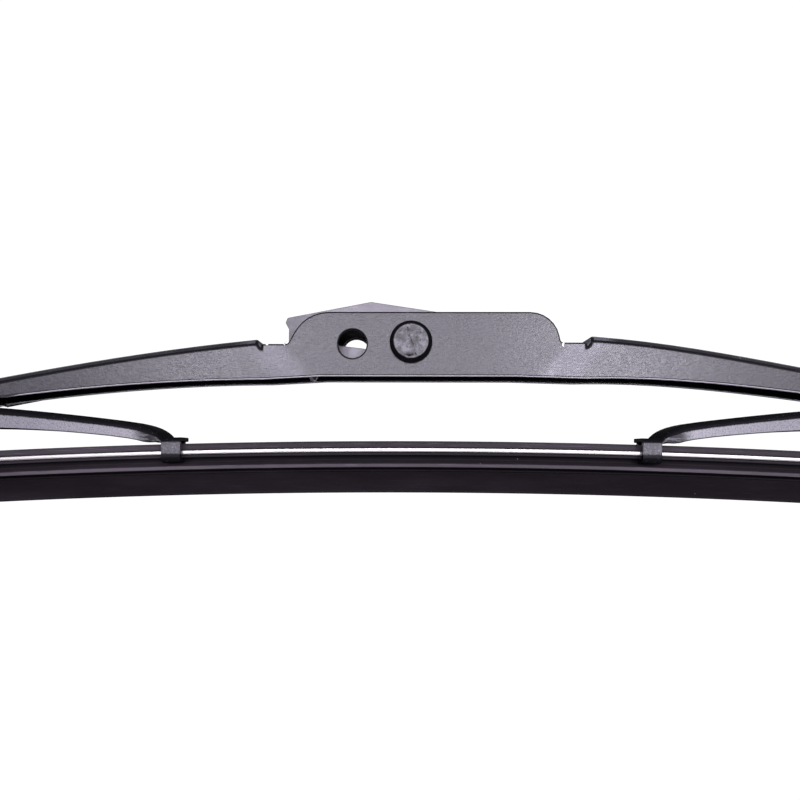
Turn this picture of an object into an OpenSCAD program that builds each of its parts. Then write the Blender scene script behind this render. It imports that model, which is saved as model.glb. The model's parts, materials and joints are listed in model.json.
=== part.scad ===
// Windscreen wiper blade with a pressed steel frame: a bridge, two yokes and two
// end yokes hold a rubber element with two flexor strips. A spring-loaded lever in
// the bridge locks the side pin of a wiper arm.
// X runs along the blade, -Y is the side that the arm's pin comes from, and +Z
// points away from the glass. The origin is the centre of the side-pin bore on the
// outer face of the front wall.

/* [Bridge] */
// Outer width of the bridge between its two walls' outer faces at the middle
bridge_w = 13.2; // [12.6:0.1:15]
// Sheet thickness of the bridge
bridge_t = 1.2; // [0.8:0.1:1.5]
// Height of the raised ears above the lever's rivet
ear_rise = 7.1; // [5:0.1:9]
// Depth of the walls below the lever's rivet
wall_depth = 7.85; // [6:0.05:9]
// Distance from the rivet to the foot of the raised ears on the left
ear_left = 28.3; // [24:0.1:32]
// Distance from the rivet to the foot of the raised ears on the right
ear_right = 34.3; // [30:0.1:38]
// Distance from the rivet to the left arm's top web
arm_left = 34.1; // [33:0.1:38]
// Distance from the rivet to the right arm's top web
arm_right = 40; // [39:0.1:44]
// Depth of the notch left of the ears, below the rivet's centre
left_notch = 0.4; // [0:0.05:0.8]
// Height of the left arm's web above the rivet's centre, where it starts
left_step = 0.9; // [0.3:0.05:1.5]
// Height of the right arm's web above the rivet's centre, where it starts
right_step = 1.7; // [0.3:0.05:1.9]
// Drop of the left arm's web from its start to its end
left_drop = 12.7; // [11.5:0.1:12.8]
// Drop of the right arm's web from its start to its end
right_drop = 11.6; // [11:0.1:12.5]
// Share of its drop that the left arm would make at its first slope
left_slope = 0.59; // [0.35:0.01:0.65]
// Share of its drop that the right arm would make at its first slope
right_slope = 0.38; // [0.35:0.01:0.65]
// Height of the left arm's walls at its start
left_h_start = 9.5; // [8:0.1:10]
// Height of the left arm's walls before its end ears
left_h_end = 4.6; // [4:0.1:7]
// Height of the right arm's walls at its start
right_h_start = 10; // [9:0.1:10.5]
// Height of the right arm's walls before its end ears
right_h_end = 5.6; // [4:0.1:7]
// Size of the bevelled shoulders along the bridge's arms
bridge_shoulder = 1.35; // [0.8:0.05:1.8]
// Radius of the ears at the bridge's ends
bridge_ear_r = 3.4; // [2.8:0.1:4]

/* [Side pin] */
// Radius of the bore for a quarter-inch side pin
bore_r = 3.25; // [3:0.05:3.6]
// Distance of the bore from the lever's rivet
bore_x = 13.4; // [12:0.1:15]
// Depth of the bore's centre below the rivet's
bore_drop = 0.4; // [0:0.1:1]

/* [Lever rivet] */
// Radius of the rivet's shank
rivet_r = 2; // [1.5:0.05:2.4]
// Radius of the rivet's heads at the wall
rivet_head_r = 4.85; // [4:0.05:5.5]
// Radius of the heads' flat faces
rivet_face_r = 4.05; // [3:0.05:4.8]
// Height of the rivet's heads
rivet_head_h = 1.9; // [1:0.1:2.5]
// Radius of the bush that the lever turns on
bush_r = 2.9; // [2.7:0.05:3.3]
// Radius of the bush's shoulder in front of the lever
bush_shoulder_r = 4.2; // [3.6:0.1:5]

/* [Lock lever] */
// Thickness of the lever's plate
lever_t = 1.5; // [1:0.1:2]
// Distance from the rivet to the lever's finger end
lever_reach = 29.1; // [28:0.1:31]
// Height of the lever's peak above the rivet
lever_peak = 10.8; // [9.5:0.1:12]
// Distance from the rivet to the lever's peak
lever_peak_x = 9.5; // [7:0.1:12]
// Slope of the lever's top edge on the finger side, in degrees
lever_rise_angle = 11.2; // [8:0.1:14]
// Slope of the lever's top edge past the peak, in degrees
lever_fall_angle = 8.7; // [6:0.1:11]
// Distance from the rivet to the lever's tail
lever_tail = 13.5; // [12:0.1:16]
// Depth of the lever's lower edge below the rivet
lever_depth = 6.3; // [5.6:0.1:6.6]
// Room round a pin in the lever's window
window_gap = 0.75; // [0.5:0.05:1.2]
// Turn that takes the locking edge out of the bore, in degrees
release_angle = 15.5; // [14.5:0.5:17]
// Slope of the locking edge, in degrees
lock_slope = 7; // [4:0.5:10]
// Width of the stop tab that rests on the rear ear
tab_w = 3; // [2:0.1:4]

/* [Lever spring] */
// Radius of the spring's wire
wire_r = 0.35; // [0.25:0.05:0.45]
// Turns of the spring's coil
coil_turns = 5; // [4:1:5]
// Distance from the rivet to the spring's hook under the lever
hook_x = 23.2; // [21:0.1:25]
// Distance from the rivet to the spring's hole in the rear wall
anchor_x = 16; // [14:0.5:20]

/* [Yokes] */
// Distance of each yoke's pivot from the rubber's end
yoke_pivot_inset = 90; // [85:1:95]
// Depth of the yokes' pivots below the rivet
yoke_pivot_drop = 17; // [16.5:0.1:17.5]
// Outer width of a yoke
yoke_w = 8.6; // [8.2:0.1:9]
// Sheet thickness of a yoke
yoke_t = 1; // [0.8:0.05:1.2]
// Height of a yoke's web above its pivot
yoke_crest = 2.8; // [2.7:0.05:3.2]
// Depth of a yoke's walls at its pivot
yoke_h = 5.7; // [5:0.1:6]
// Depth of a yoke's walls beside its claw
yoke_h_claw = 3.8; // [3:0.1:4.2]
// Size of the bevelled shoulders along a yoke
yoke_shoulder = 1.1; // [0.6:0.05:1.4]
// Radius of the ears at a yoke's outer end
yoke_ear_r = 2.9; // [2.5:0.1:3.2]

/* [End yokes] */
// Distance of each end yoke's pivot from the rubber's end
end_pivot_inset = 55; // [52:1:58]
// Height of the end yokes' pivots above the rubber's back
end_pivot_rise = 3.8; // [3.7:0.05:4.2]
// Sheet thickness of an end yoke
end_t = 0.9; // [0.7:0.05:1]
// Height of an end yoke's web above its pivot
end_crest = 2.6; // [2.5:0.05:2.8]
// Depth of an end yoke's walls at its pivot
end_h = 5; // [4.6:0.1:5.2]
// Depth of an end yoke's walls beside its claws
end_h_claw = 2.6; // [2.3:0.1:3]
// Size of the bevelled shoulders along an end yoke
end_shoulder = 0.9; // [0.5:0.05:1.1]

/* [Yoke pivots] */
// Radius of the shank of a yoke's rivet
pivot_r = 1.6; // [1.3:0.05:1.7]
// Radius of the shank of an end yoke's rivet
end_pivot_r = 1.35; // [1.1:0.05:1.45]
// Height of the small rivets' domed heads
dome_h = 1.1; // [0.8:0.1:1.4]
// Wall thickness of the nylon liners
liner_t = 0.6; // [0.4:0.05:0.7]
// Half the length of a yoke's liner
liner_half = 4.5; // [3.5:0.1:5]
// Half the length of an end yoke's liner
end_liner_half = 3.4; // [3:0.1:3.6]

/* [Claws] */
// Distance from the rivet to the yokes' inner claws
claw_x = 54.8; // [52:0.2:60]
// Distance of the end yokes' inner claws from the rubber's end
near_claw_inset = 85; // [80:0.5:85.5]
// Distance of the end yokes' outer claws from the rubber's end
far_claw_inset = 25; // [20:0.5:30]
// Length of a claw along the blade
claw_len = 4.4; // [3.6:0.1:5]
// Distance that the rear half of a yoke's claw stands further out than its front half
claw_stagger = 2.4; // [0:0.1:3]
// Radius of the bend at a claw's foot
claw_bend = 1.5; // [1:0.1:1.8]
// Share of a yoke's rise that the bend beside its claw makes
root_share = 0.37; // [0.1:0.01:0.45]
// Length of the bend beside a claw
root_bend = 2.8; // [1.5:0.1:4]

/* [Rubber] */
// Length of the rubber along its back
rubber_len = 400; // [380:1:420]
// Radius of the curve that the unloaded blade takes
arc_r = 1920; // [1800:10:2400]
// Depth of the rubber's back below the rivet
rubber_drop = 22.5; // [22:0.1:23]
// Half the width of the rubber's head
head_half = 3; // [2.6:0.1:3.2]
// Height of the rubber's head above the flexors
head_h = 1.6; // [1.2:0.05:1.8]
// Half the width of the flange below the flexors
flange_half = 3.2; // [2.8:0.1:3.4]
// Thickness of the flange below the flexors
flange_h = 0.7; // [0.5:0.05:0.9]
// Height of the groove that the claws run in
groove_h = 1.15; // [1:0.05:1.3]
// Half the width of the rubber between its grooves
core_half = 1.6; // [1.2:0.05:1.8]
// Half the width of the rubber's shoulders
shoulder_half = 2.6; // [2.2:0.1:3]
// Half the thickness of the hinge above the lip
neck_half = 0.45; // [0.3:0.05:0.7]
// Half the width of the lip's upper edge
lip_half = 2.3; // [1.8:0.1:2.8]
// Height of the lip
lip_h = 4.9; // [4:0.1:6]
// Half the thickness of the lip's wiping edge
edge_half = 0.35; // [0.2:0.05:0.6]

/* [Flexors] */
// Thickness of a flexor strip
flexor_t = 0.85; // [0.6:0.05:1]
// Width of a flexor strip
flexor_w = 2.55; // [2.2:0.05:2.8]
// Distance of a flexor's end from the rubber's end
flexor_short = 1.5; // [1:0.1:3]

/* [End caps] */
// Length of the rubber that an end cap covers
cap_len = 8; // [5:0.5:12]
// Wall thickness of an end cap
cap_t = 0.8; // [0.6:0.05:1]

/* [Clearances] */
// Radial clearance of what turns on a rivet or bush
turn_gap = 0.05; // [0.02:0.01:0.1]
// Clearance of a clinched shank in its hole
clinch_gap = 0.02; // [0.01:0.01:0.04]
// Side clearance of a liner between its walls
side_gap = 0.05; // [0.03:0.01:0.1]
// Clearance between the flexors and the rubber's slots
slot_gap = 0.04; // [0.02:0.01:0.06]
// Clearance between a claw and the flexors' outer edges
claw_side_gap = 0.25; // [0.15:0.05:0.4]
// Clearance between a claw's fingers and the flange above them
finger_gap = 0.15; // [0.1:0.05:0.2]
// Clearance between a claw's web and the rubber's back
back_gap = 0.45; // [0.3:0.05:0.6]
// Clearance between an end cap and what it covers
cap_gap = 0.2; // [0.15:0.05:0.3]

/* [Hidden] */

round_fn = 96;
arc_fn = 720;
cut = 1;

yoke_pivot_x = rubber_len / 2 - yoke_pivot_inset;
end_pivot_x = rubber_len / 2 - end_pivot_inset;
near_claw_x = rubber_len / 2 - near_claw_inset;
far_claw_x = rubber_len / 2 - far_claw_inset;

bridge_half = bridge_w / 2;
bridge_inner = bridge_half - bridge_t;
liner_room = liner_t + 2 * side_gap;
end_inner = yoke_w / 2 + liner_room;
bridge_end_w = 2 * (end_inner + bridge_t);
yoke_inner = yoke_w / 2 - yoke_t;
end_w = 2 * (yoke_inner - liner_room);
taper_end = yoke_pivot_x - 3 * bridge_ear_r;
arm_end = yoke_pivot_x + bridge_ear_r;
// Where the outer bevel of a shoulder turns, in shares of the shoulder's size
shoulder_knee = [0.45, 0.3];
// Size of the shoulder on the inside of the sheet, as a share of the outer one
inner_shoulder = 0.6;
// Length of the centre's walls that lies inside each arm's walls
arm_tongue = 2.5;
// Power by which an arm's walls lose height towards their end ears
taper_power = 1.2;
// Power by which a yoke's web levels out towards its pivot
crest_power = 1.4;

slot_h = flexor_t + 2 * slot_gap;
flexor_z = -head_h - slot_h / 2;
flange_z = -head_h - slot_h;
groove_z = flange_z - flange_h;
flexor_in = core_half + slot_gap;
flexor_out = flexor_in + flexor_w;
claw_half = flexor_out + claw_side_gap;
finger_z = groove_z - finger_gap;
// Distance of a claw's fingers from the rubber's core
finger_clear = 0.55;
finger_in = core_half + finger_clear;
// Distance by which the halves of a grip lap over each other in its web
grip_lap = 0.5;
// Extra width of a yoke's channel over the room in its claw, where it starts
flare_extra = 0.8;
yoke_web_z = back_gap + yoke_t;
end_web_z = back_gap + end_t;
blend_dip = 0.1;

// Height of the rubber's back at a distance x along the blade
function back_z(x) = -rubber_drop - arc_r + sqrt(arc_r * arc_r - x * x);

end_pivot_z = back_z(end_pivot_x) + end_pivot_rise;
yoke_end_crest = 4.9;

function mix(a, b, u) = a + (b - a) * u;
function smooth(u) = u * u * (3 - 2 * u);
function unit(v) = v / norm(v);

// A polygon with a rounded corner at each [x, y, radius]
function rounded(corners, steps = 6) = [
    for (i = [0:len(corners) - 1])
        each corner_arc(
            corners[(i + len(corners) - 1) % len(corners)],
            corners[i],
            corners[(i + 1) % len(corners)],
            steps
        )
];

function corner_arc(before, here, after, steps) =
    len(here) < 3 || here[2] == 0
        ? [[here[0], here[1]]]
        : let (
            p = [here[0], here[1]],
            a = unit([before[0], before[1]] - p),
            b = unit([after[0], after[1]] - p),
            half = acos(a * b) / 2,
            c = p + unit(a + b) * here[2] / sin(half),
            s = p + a * here[2] / tan(half) - c,
            e = p + b * here[2] / tan(half) - c,
            from = atan2(s[1], s[0]),
            sweep = (atan2(e[1], e[0]) - from + 540) % 360 - 180
        )
        [for (k = [0:steps]) c + here[2] * [cos(from + sweep * k / steps), sin(from + sweep * k / steps)]];

// One closed ring of a pressed channel: an inverted U with bevelled shoulders
function channel_ring(x, w, top, h, t, s) = let (
    a = w / 2,
    i = a - t,
    low = top - h,
    knee = [shoulder_knee[0] * s, shoulder_knee[1] * s],
    inner_s = min(inner_shoulder * s, h - t - 0.1)
) [
    [x, -a, low], [x, -a, top - s], [x, knee[0] - a, top - knee[1]], [x, s - a, top],
    [x, a - s, top], [x, a - knee[0], top - knee[1]], [x, a, top - s], [x, a, low],
    [x, i, low], [x, i, top - t - inner_s], [x, i - inner_s, top - t],
    [x, inner_s - i, top - t], [x, -i, top - t - inner_s], [x, -i, low]
];

// The ring's face, as convex pieces from one wall's foot to the other's
channel_face = [
    [0, 1, 12, 13], [1, 2, 12], [2, 3, 11, 12], [3, 4, 10, 11], [4, 5, 9, 10], [5, 6, 9], [6, 7, 8, 9]
];

// A closed skin over rings of equally many points, whose ends are cut into convex faces
module skin(rings, ends) {
    n = len(rings[0]);
    last = (len(rings) - 1) * n;
    sides = [
        for (k = [0:len(rings) - 2])
            for (i = [0:n - 1])
                let (j = (i + 1) % n, r = k * n)
                    each [[r + i, r + j, r + n + j], [r + i, r + n + j, r + n + i]]
    ];
    polyhedron(
        points = [for (r = rings) each r],
        faces = concat(
            [for (f = ends) [for (k = [len(f) - 1:-1:0]) f[k]]],
            sides,
            [for (f = ends) [for (i = f) last + i]]
        )
    );
}

// An outline in X and Z that is given a thickness along Y, centred on Y = y
module plate(outline, t, y = 0) {
    translate([0, y + t / 2, 0])
        rotate([90, 0, 0])
            linear_extrude(t)
                polygon(outline);
}

// The same outline as two walls whose outer faces are w apart
module walls(outline, t, w) {
    for (side = [-1, 1])
        plate(outline, t, side * (w - t) / 2);
}

// A cylinder along Y
module cross_bar(x, z, r, len) {
    translate([x, len / 2, z])
        rotate([90, 0, 0])
            cylinder(r = r, h = len, $fn = round_fn);
}

// Places a child that is drawn on the rubber's back at X = 0 where the back reaches x
module on_arc(x) {
    translate([0, 0, -rubber_drop - arc_r])
        rotate([0, asin(x / arc_r), 0])
            translate([0, 0, arc_r])
                children();
}

// Moves the origin from the lever's rivet to the side-pin bore on the front face
module placed() {
    translate([bore_x, bridge_half, bore_drop])
        children();
}

module mirrored(side) {
    mirror([side < 0 ? 1 : 0, 0, 0])
        children();
}

// Bridge

// An arm is [its start, height of its notch, height of its web at the start, drop,
// first slope, wall height at the start, wall height before the end ears]
left_arm = [arm_left, -left_notch, left_step, left_drop, left_slope, left_h_start, left_h_end];
right_arm = [arm_right, 0, right_step, right_drop, right_slope, right_h_start, right_h_end];

// The web's height. The bow lets a gentle first slope steepen in time for the same drop.
function arm_top(x, arm) = let (
    u = (x - arm[0]) / (arm_end - arm[0]),
    slope = arm[4],
    bow = 4 / 3 - 2 * slope
)
    arm[2] - arm[3] * u * (slope + u * (1 - slope + bow - bow * u));

// The walls' lower edge
function arm_low(x, arm) = let (u = min(1, (x - arm[0]) / (taper_end - arm[0])))
    arm_top(x, arm) - mix(arm[6], arm[5], pow(1 - u, taper_power));

// Length of the slope by which the web's end rises from the notch to its top corner
function ramp_len(arm) = 0.4 + 0.6 * (arm[2] - arm[1]);

function arm_ramp(x, arm) = let (u = min(1, (x - arm[0]) / ramp_len(arm)))
    arm_top(x, arm) - (arm[2] - arm[1]) * (1 - u * u);

function arm_w(x, arm) = let (u = (x - arm[0] - arm_tongue) / (taper_end - arm[0]))
    mix(bridge_w, bridge_end_w, min(1, max(0, u)));

module bridge_arm(arm) {
    full = arm[0] + arm_tongue;
    near = [for (k = [0:5]) arm[0] + ramp_len(arm) * k / 5];
    far = [for (k = [0:12]) mix(full, arm_end - cut, k / 12)];
    skin([
        for (x = concat(near, far))
            channel_ring(
                x, arm_w(x, arm), arm_ramp(x, arm), arm_ramp(x, arm) - arm_low(x, arm), bridge_t, bridge_shoulder
            )
    ], channel_face);
}

module bridge_end_ears(arm) {
    roof = arm_top(arm_end, arm) - bridge_shoulder - 0.2;
    low = arm_low(taper_end, arm);
    walls(
        rounded([
            [taper_end, min(low + 0.3, roof - 0.5)],
            [yoke_pivot_x - bridge_ear_r - 1, low - 0.9, 3.5],
            [yoke_pivot_x - bridge_ear_r + 0.4, -yoke_pivot_drop - bridge_ear_r, bridge_ear_r - 0.4],
            [yoke_pivot_x + bridge_ear_r, -yoke_pivot_drop - bridge_ear_r, bridge_ear_r],
            [yoke_pivot_x + bridge_ear_r, roof, 1.5],
            [taper_end, roof]
        ]),
        bridge_t, bridge_end_w
    );
}

module bridge_centre() {
    left_low = left_step - left_h_start;
    right_low = right_step - right_h_start;
    shelf = -bridge_shoulder - 0.4;
    walls(
        rounded([
            [-arm_left - arm_tongue, left_low + 1],
            [-arm_left, left_low],
            [-0.6 * arm_left, -wall_depth, 20],
            [0.6 * arm_right, -wall_depth, 20],
            [arm_right, right_low],
            [arm_right + arm_tongue, right_low + 1],
            [arm_right + arm_tongue, shelf],
            [arm_right, shelf],
            [arm_right, 0],
            [ear_right, 0, 0.8],
            [ear_right - 1.3, ear_rise, 0.95 * ear_rise],
            [4.1 - ear_left, ear_rise, 1.25 * ear_rise],
            [-ear_left, -left_notch, 0.8],
            [-arm_left, -left_notch],
            [-arm_left, shelf],
            [-arm_left - arm_tongue, shelf]
        ]),
        bridge_t, bridge_w
    );
}

anchor_z = -bush_r - 4.9 * wire_r;

module main_bridge() color("DimGray") placed() {
    difference() {
        union() {
            bridge_centre();
            bridge_arm(right_arm);
            bridge_end_ears(right_arm);
            mirrored(-1) {
                bridge_arm(left_arm);
                bridge_end_ears(left_arm);
            }
        }
        cross_bar(-bore_x, -bore_drop, bore_r, bridge_w + 2 * cut);
        cross_bar(0, 0, rivet_r + clinch_gap, bridge_w + 2 * cut);
        for (side = [-1, 1])
            cross_bar(side * yoke_pivot_x, -yoke_pivot_drop, pivot_r + clinch_gap, bridge_w + 2 * cut);
        translate([0, bridge_half, 0])
            cross_bar(anchor_x, anchor_z, wire_r + 2 * turn_gap, 2 * bridge_t + cut);
    }
}

// Lever's rivet and bush

module pivot_rivet() color([0.25, 0.24, 0.26]) placed() {
    seat = bridge_half + clinch_gap;
    face = seat + rivet_head_h;
    head = rivet_head_r - rivet_face_r;
    rotate([90, 0, 0])
        rotate_extrude($fn = round_fn)
            polygon([
                [0, -face], [rivet_face_r - 0.2, -face], [rivet_face_r, 0.15 - face],
                [rivet_head_r, 1.4 * head - face], [rivet_head_r, -seat], [rivet_r, -seat],
                [rivet_r, seat], [rivet_head_r, seat], [rivet_head_r, face - 1.4 * head],
                [rivet_face_r, face - 0.15], [rivet_face_r - 0.2, face], [0, face]
            ]);
}

module pivot_bush() color("Silver") placed() {
    end = bridge_inner - side_gap;
    lever_face = lever_t / 2 + side_gap;
    rotate([90, 0, 0])
        rotate_extrude($fn = round_fn)
            polygon([
                [rivet_r + clinch_gap, -end], [bush_r, -end], [bush_r, lever_face],
                [bush_shoulder_r, lever_face], [bush_shoulder_r, end], [rivet_r + clinch_gap, end]
            ]);
}

// Lock lever

finger_lip = 0.85;
lever_end_z = lever_peak - (lever_reach - lever_peak_x) * tan(lever_rise_angle);
lever_tail_z = lever_peak - (lever_tail + lever_peak_x) * tan(lever_fall_angle);
hook_tab_z = -lever_depth - 1.3;
hook_tab_w = 2;

module lever_outline() {
    polygon(rounded([
        [-lever_reach, 0.6 * lever_end_z, 0.3],
        [-lever_reach - finger_lip, 0.82 * lever_end_z, 0.3],
        [-lever_reach - 0.4, lever_end_z, 0.4],
        [-lever_peak_x, lever_peak, 1],
        [lever_tail, lever_tail_z, 1.2],
        [lever_tail, 0.3 * lever_tail_z, 3],
        [bush_r + 2.4, -bush_r - 0.8, 3],
        [0.5, -lever_depth + 0.2, 4],
        [hook_tab_w / 2 - hook_x, -lever_depth, 0.4],
        [hook_tab_w / 2 - hook_x, hook_tab_z, 0.3],
        [-hook_tab_w / 2 - hook_x, hook_tab_z, 0.3],
        [-hook_tab_w / 2 - hook_x, -lever_depth, 0.4],
        [-lever_reach, -lever_depth, 2.4]
    ]));
}

// The window lets a pin pass. Its lower edge is the locking edge, which crosses the bore.
module lever_window() {
    left = -bore_x - bore_r - window_gap;
    right = -bore_x + bore_r + window_gap + 0.2;
    top = bore_r - bore_drop + bore_x * sin(release_angle) + 0.25;
    polygon(rounded([
        [left, (-left - bore_x) * tan(lock_slope) - bore_drop + 0.15, 0.6],
        [right, (-right - bore_x) * tan(lock_slope) - bore_drop + 0.15, 0.6],
        [right, top, 2.2],
        [left, top, 2.2]
    ]));
}

module lock_lever() color("LightGray") placed() {
    difference() {
        translate([0, lever_t / 2, 0])
            rotate([90, 0, 0])
                linear_extrude(lever_t)
                    difference() {
                        lever_outline();
                        lever_window();
                    }
        cross_bar(0, 0, bush_r + turn_gap, lever_t + 2 * cut);
    }
    tab_z = ear_rise + turn_gap;
    tab_x = lever_tail - tab_w - 1;
    translate([tab_x, lever_t / 2 - 0.2, tab_z])
        cube([tab_w, bridge_half - lever_t / 2 + 0.2, 1]);
}

// Lever's spring: a coil round the bush, one leg in the rear wall's hole and one
// hooked under the lever's tab

coil_r = bush_r + wire_r + 3 * turn_gap;
coil_front = lever_t / 2 + wire_r + turn_gap;
coil_rear = bridge_inner - wire_r - 2 * side_gap;
coil_steps = 14;

function coil_path() = [
    for (k = [0:coil_steps * coil_turns])
        let (u = k / (coil_steps * coil_turns), a = -90 - 360 * coil_turns * u)
            [coil_r * cos(a), mix(coil_rear, coil_front, u), coil_r * sin(a)]
];

function anchor_path() = [
    [anchor_x, bridge_half + 0.5, anchor_z], [anchor_x, bridge_inner + 0.2, anchor_z],
    [anchor_x - 0.15, coil_rear + 0.35, anchor_z], [anchor_x - 0.5, coil_rear + 0.05, anchor_z],
    [anchor_x - 1, coil_rear, anchor_z], [anchor_x / 2, coil_rear, (anchor_z - coil_r) / 2]
];

function hook_path() = let (
    y = coil_front,
    z = hook_tab_z - wire_r - turn_gap,
    x = -hook_x
) [
    [x / 2, y, -bore_r - bore_drop - 4 * wire_r],
    [x + 1.6, y, -lever_depth + 0.4], [x + 0.8, y, -lever_depth - 0.4],
    [x + 0.35, y, z + 0.5], [x + 0.25, y - 0.3, z + 0.1], [x + 0.2, y - 0.6, z],
    [x, 0, z], [x - 0.2, 0.6 - y, z], [x - 0.25, 0.3 - y, z + 0.1],
    [x - 0.3, -y, z + 0.5], [x - 0.35, -y, -lever_depth + 0.6], [x - 0.4, -y, -lever_depth + 1.6]
];

function tangent(path, i) = unit(path[min(i + 1, len(path) - 1)] - path[max(i - 1, 0)]);

function upright(v, t) = unit(v - (v * t) * t);

module wire(path, r, sides = 8) {
    normals = [
        for (i = 0, n = upright([0, 0, 1], tangent(path, 0));
             i < len(path);
             i = i + 1, n = i < len(path) ? upright(n, tangent(path, i)) : n) n
    ];
    skin([
        for (i = [0:len(path) - 1])
            let (t = tangent(path, i), n = normals[i], m = cross(n, t))
                [for (k = [0:sides - 1]) path[i] + r * (cos(360 * k / sides) * n + sin(360 * k / sides) * m)]
    ], [[for (k = [0:sides - 1]) k]]);
}

module lever_spring() color("WhiteSmoke") placed() {
    wire(concat(anchor_path(), coil_path(), hook_path()), wire_r);
}

// Claws: the sheet wraps under the flexors and leaves the rubber's body free

// One side of a grip, from the middle of its web to its finger's tip and back
function grip_side(half, roof, t, bend) = rounded([
    [-grip_lap, roof], [half, roof, 0.4], [half, finger_z, 0.5], [finger_in, finger_z],
    [finger_in, finger_z - t], [half + t, finger_z - t, bend], [half + t, roof + t, bend - 0.3],
    [-grip_lap, roof + t]
], 4);

// Both sides of a grip. The rear one may stand further out than the front one.
module grip(half, roof, t, bend, len, stagger = 0) {
    outline = grip_side(half, roof, t, bend);
    for (side = [-1, 1])
        translate([(side > 0 ? stagger : 0) - len / 2, 0, 0])
            rotate([90, 0, 90])
                linear_extrude(len)
                    polygon([for (p = outline) [side * p[0], p[1]]]);
}

module claw(x, t, stagger = 0) {
    on_arc(x)
        grip(claw_half, back_gap, t, claw_bend, claw_len, stagger);
}

// Rise of a yoke's web from a claw to its crest. It bends up quickly past the claw,
// and is flat at the crest: u runs from 0 to 1, and d is the distance from the claw.
function crest_line(u, d) =
    1 - (1 - root_share * (1 - exp(-d / root_bend))) * pow(1 - u, crest_power);

// Yokes, drawn on the right-hand side of the blade

yoke_root = claw_x + claw_len / 2;
yoke_crest_z = yoke_crest - yoke_pivot_drop;
yoke_end_z = end_pivot_z + yoke_end_crest;
yoke_end = end_pivot_x + yoke_ear_r - 0.8;

function yoke_top(x) = x < yoke_pivot_x
    ? mix(
        back_z(yoke_root) + yoke_web_z - blend_dip, yoke_crest_z,
        crest_line((x - yoke_root) / (yoke_pivot_x - yoke_root), x - yoke_root)
    )
    : mix(yoke_crest_z, yoke_end_z, smooth(min(1, (x - yoke_pivot_x) / (end_pivot_x - yoke_pivot_x))));

// The walls grow from the claw and stay clear of the rubber's back
function yoke_depth(x) = x < yoke_pivot_x
    ? max(yoke_t + 0.15, min(
        mix(yoke_h_claw, yoke_h, pow((x - yoke_root) / (yoke_pivot_x - yoke_root), 2)),
        yoke_top(x) - back_z(x) - back_gap
    ))
    : mix(yoke_h, yoke_h - 0.6, (x - yoke_pivot_x) / (end_pivot_x - yoke_pivot_x));

function claw_flare(x, root, w, reach) =
    mix(2 * claw_half + flare_extra, w, smooth(min(1, (x - root) / reach)));

module yoke_channel() {
    roots = [-0.8, 0, 0.7, 1.4, 2.2, 3.2, 4.5, 6, 8];
    inner = [for (k = [1:10]) mix(yoke_root + 8, yoke_pivot_x, k / 10)];
    outer = [for (k = [1:8]) mix(yoke_pivot_x, end_pivot_x, k / 8)];
    skin([
        for (x = concat([for (r = roots) yoke_root + r], inner, outer, [yoke_end]))
            let (root_x = max(x, yoke_root), h = yoke_depth(root_x))
                channel_ring(
                    x, claw_flare(root_x, yoke_root, yoke_w, 6), yoke_top(root_x), h, yoke_t,
                    min(yoke_shoulder, h - 0.1)
                )
    ], channel_face);
}

module yoke_end_ears() {
    flare = end_pivot_x - 3 * yoke_ear_r;
    roof = yoke_end_z - yoke_shoulder - 0.2;
    low = yoke_top(flare) - yoke_depth(flare);
    walls(
        rounded([
            [flare, low + 0.3],
            [end_pivot_x - yoke_ear_r - 1, low - 1.6, 3],
            [end_pivot_x - yoke_ear_r + 0.4, end_pivot_z - yoke_ear_r, yoke_ear_r - 0.4],
            [end_pivot_x + yoke_ear_r, end_pivot_z - yoke_ear_r, yoke_ear_r],
            [end_pivot_x + yoke_ear_r, roof, 1.2],
            [flare, roof]
        ]),
        yoke_t, yoke_w
    );
}

module yoke(side) color([0.45, 0.44, 0.47]) placed() mirrored(side) {
    difference() {
        union() {
            yoke_channel();
            yoke_end_ears();
            claw(claw_x, yoke_t, claw_stagger);
        }
        cross_bar(yoke_pivot_x, -yoke_pivot_drop, pivot_r + turn_gap, yoke_w + 2 * cut);
        cross_bar(end_pivot_x, end_pivot_z, end_pivot_r + clinch_gap, yoke_w + 2 * cut);
    }
}

module yoke_left() yoke(-1);
module yoke_right() yoke(1);

// End yokes, drawn on the right-hand side of the blade

end_root_near = near_claw_x + claw_len / 2;
end_root_far = far_claw_x - claw_len / 2;
end_crest_z = end_pivot_z + end_crest;

function end_u(x) = x < end_pivot_x
    ? (x - end_root_near) / (end_pivot_x - end_root_near)
    : (end_root_far - x) / (end_root_far - end_pivot_x);

function end_top(x) = let (root = x < end_pivot_x ? end_root_near : end_root_far)
    mix(
        back_z(root) + end_web_z - blend_dip, end_crest_z,
        crest_line(max(0, end_u(x)), max(0, root == end_root_near ? x - root : root - x))
    );

// The walls grow from the claws and stay clear of the rubber's back
function end_depth(x) = let (
    d = min(x - end_root_near, end_root_far - x),
    full = mix(end_h_claw, end_h, smooth(min(1, max(0, end_u(x)))))
)
    d < 2 ? end_t + 0.35 : min(full, end_top(x) - back_z(x) - back_gap);

module end_yoke_channel() {
    roots = [-0.8, 0, 1, 1.98, 2.02, 3, 4.5, 6];
    n = len(roots) - 1;
    middle = [for (k = [1:11]) mix(end_root_near + 6, end_root_far - 6, k / 12)];
    skin([
        for (x = concat(
            [for (r = roots) end_root_near + r], middle, [for (k = [n:-1:0]) end_root_far - roots[k]]
        ))
            let (root = x < end_pivot_x ? end_root_near : end_root_far)
                channel_ring(
                    x, claw_flare(root + abs(x - root) * (end_u(x) < 0 ? 0 : 1), root, end_w, 5), end_top(x),
                    end_depth(x), end_t, min(end_shoulder, end_depth(x) - 0.1)
                )
    ], channel_face);
}

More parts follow.
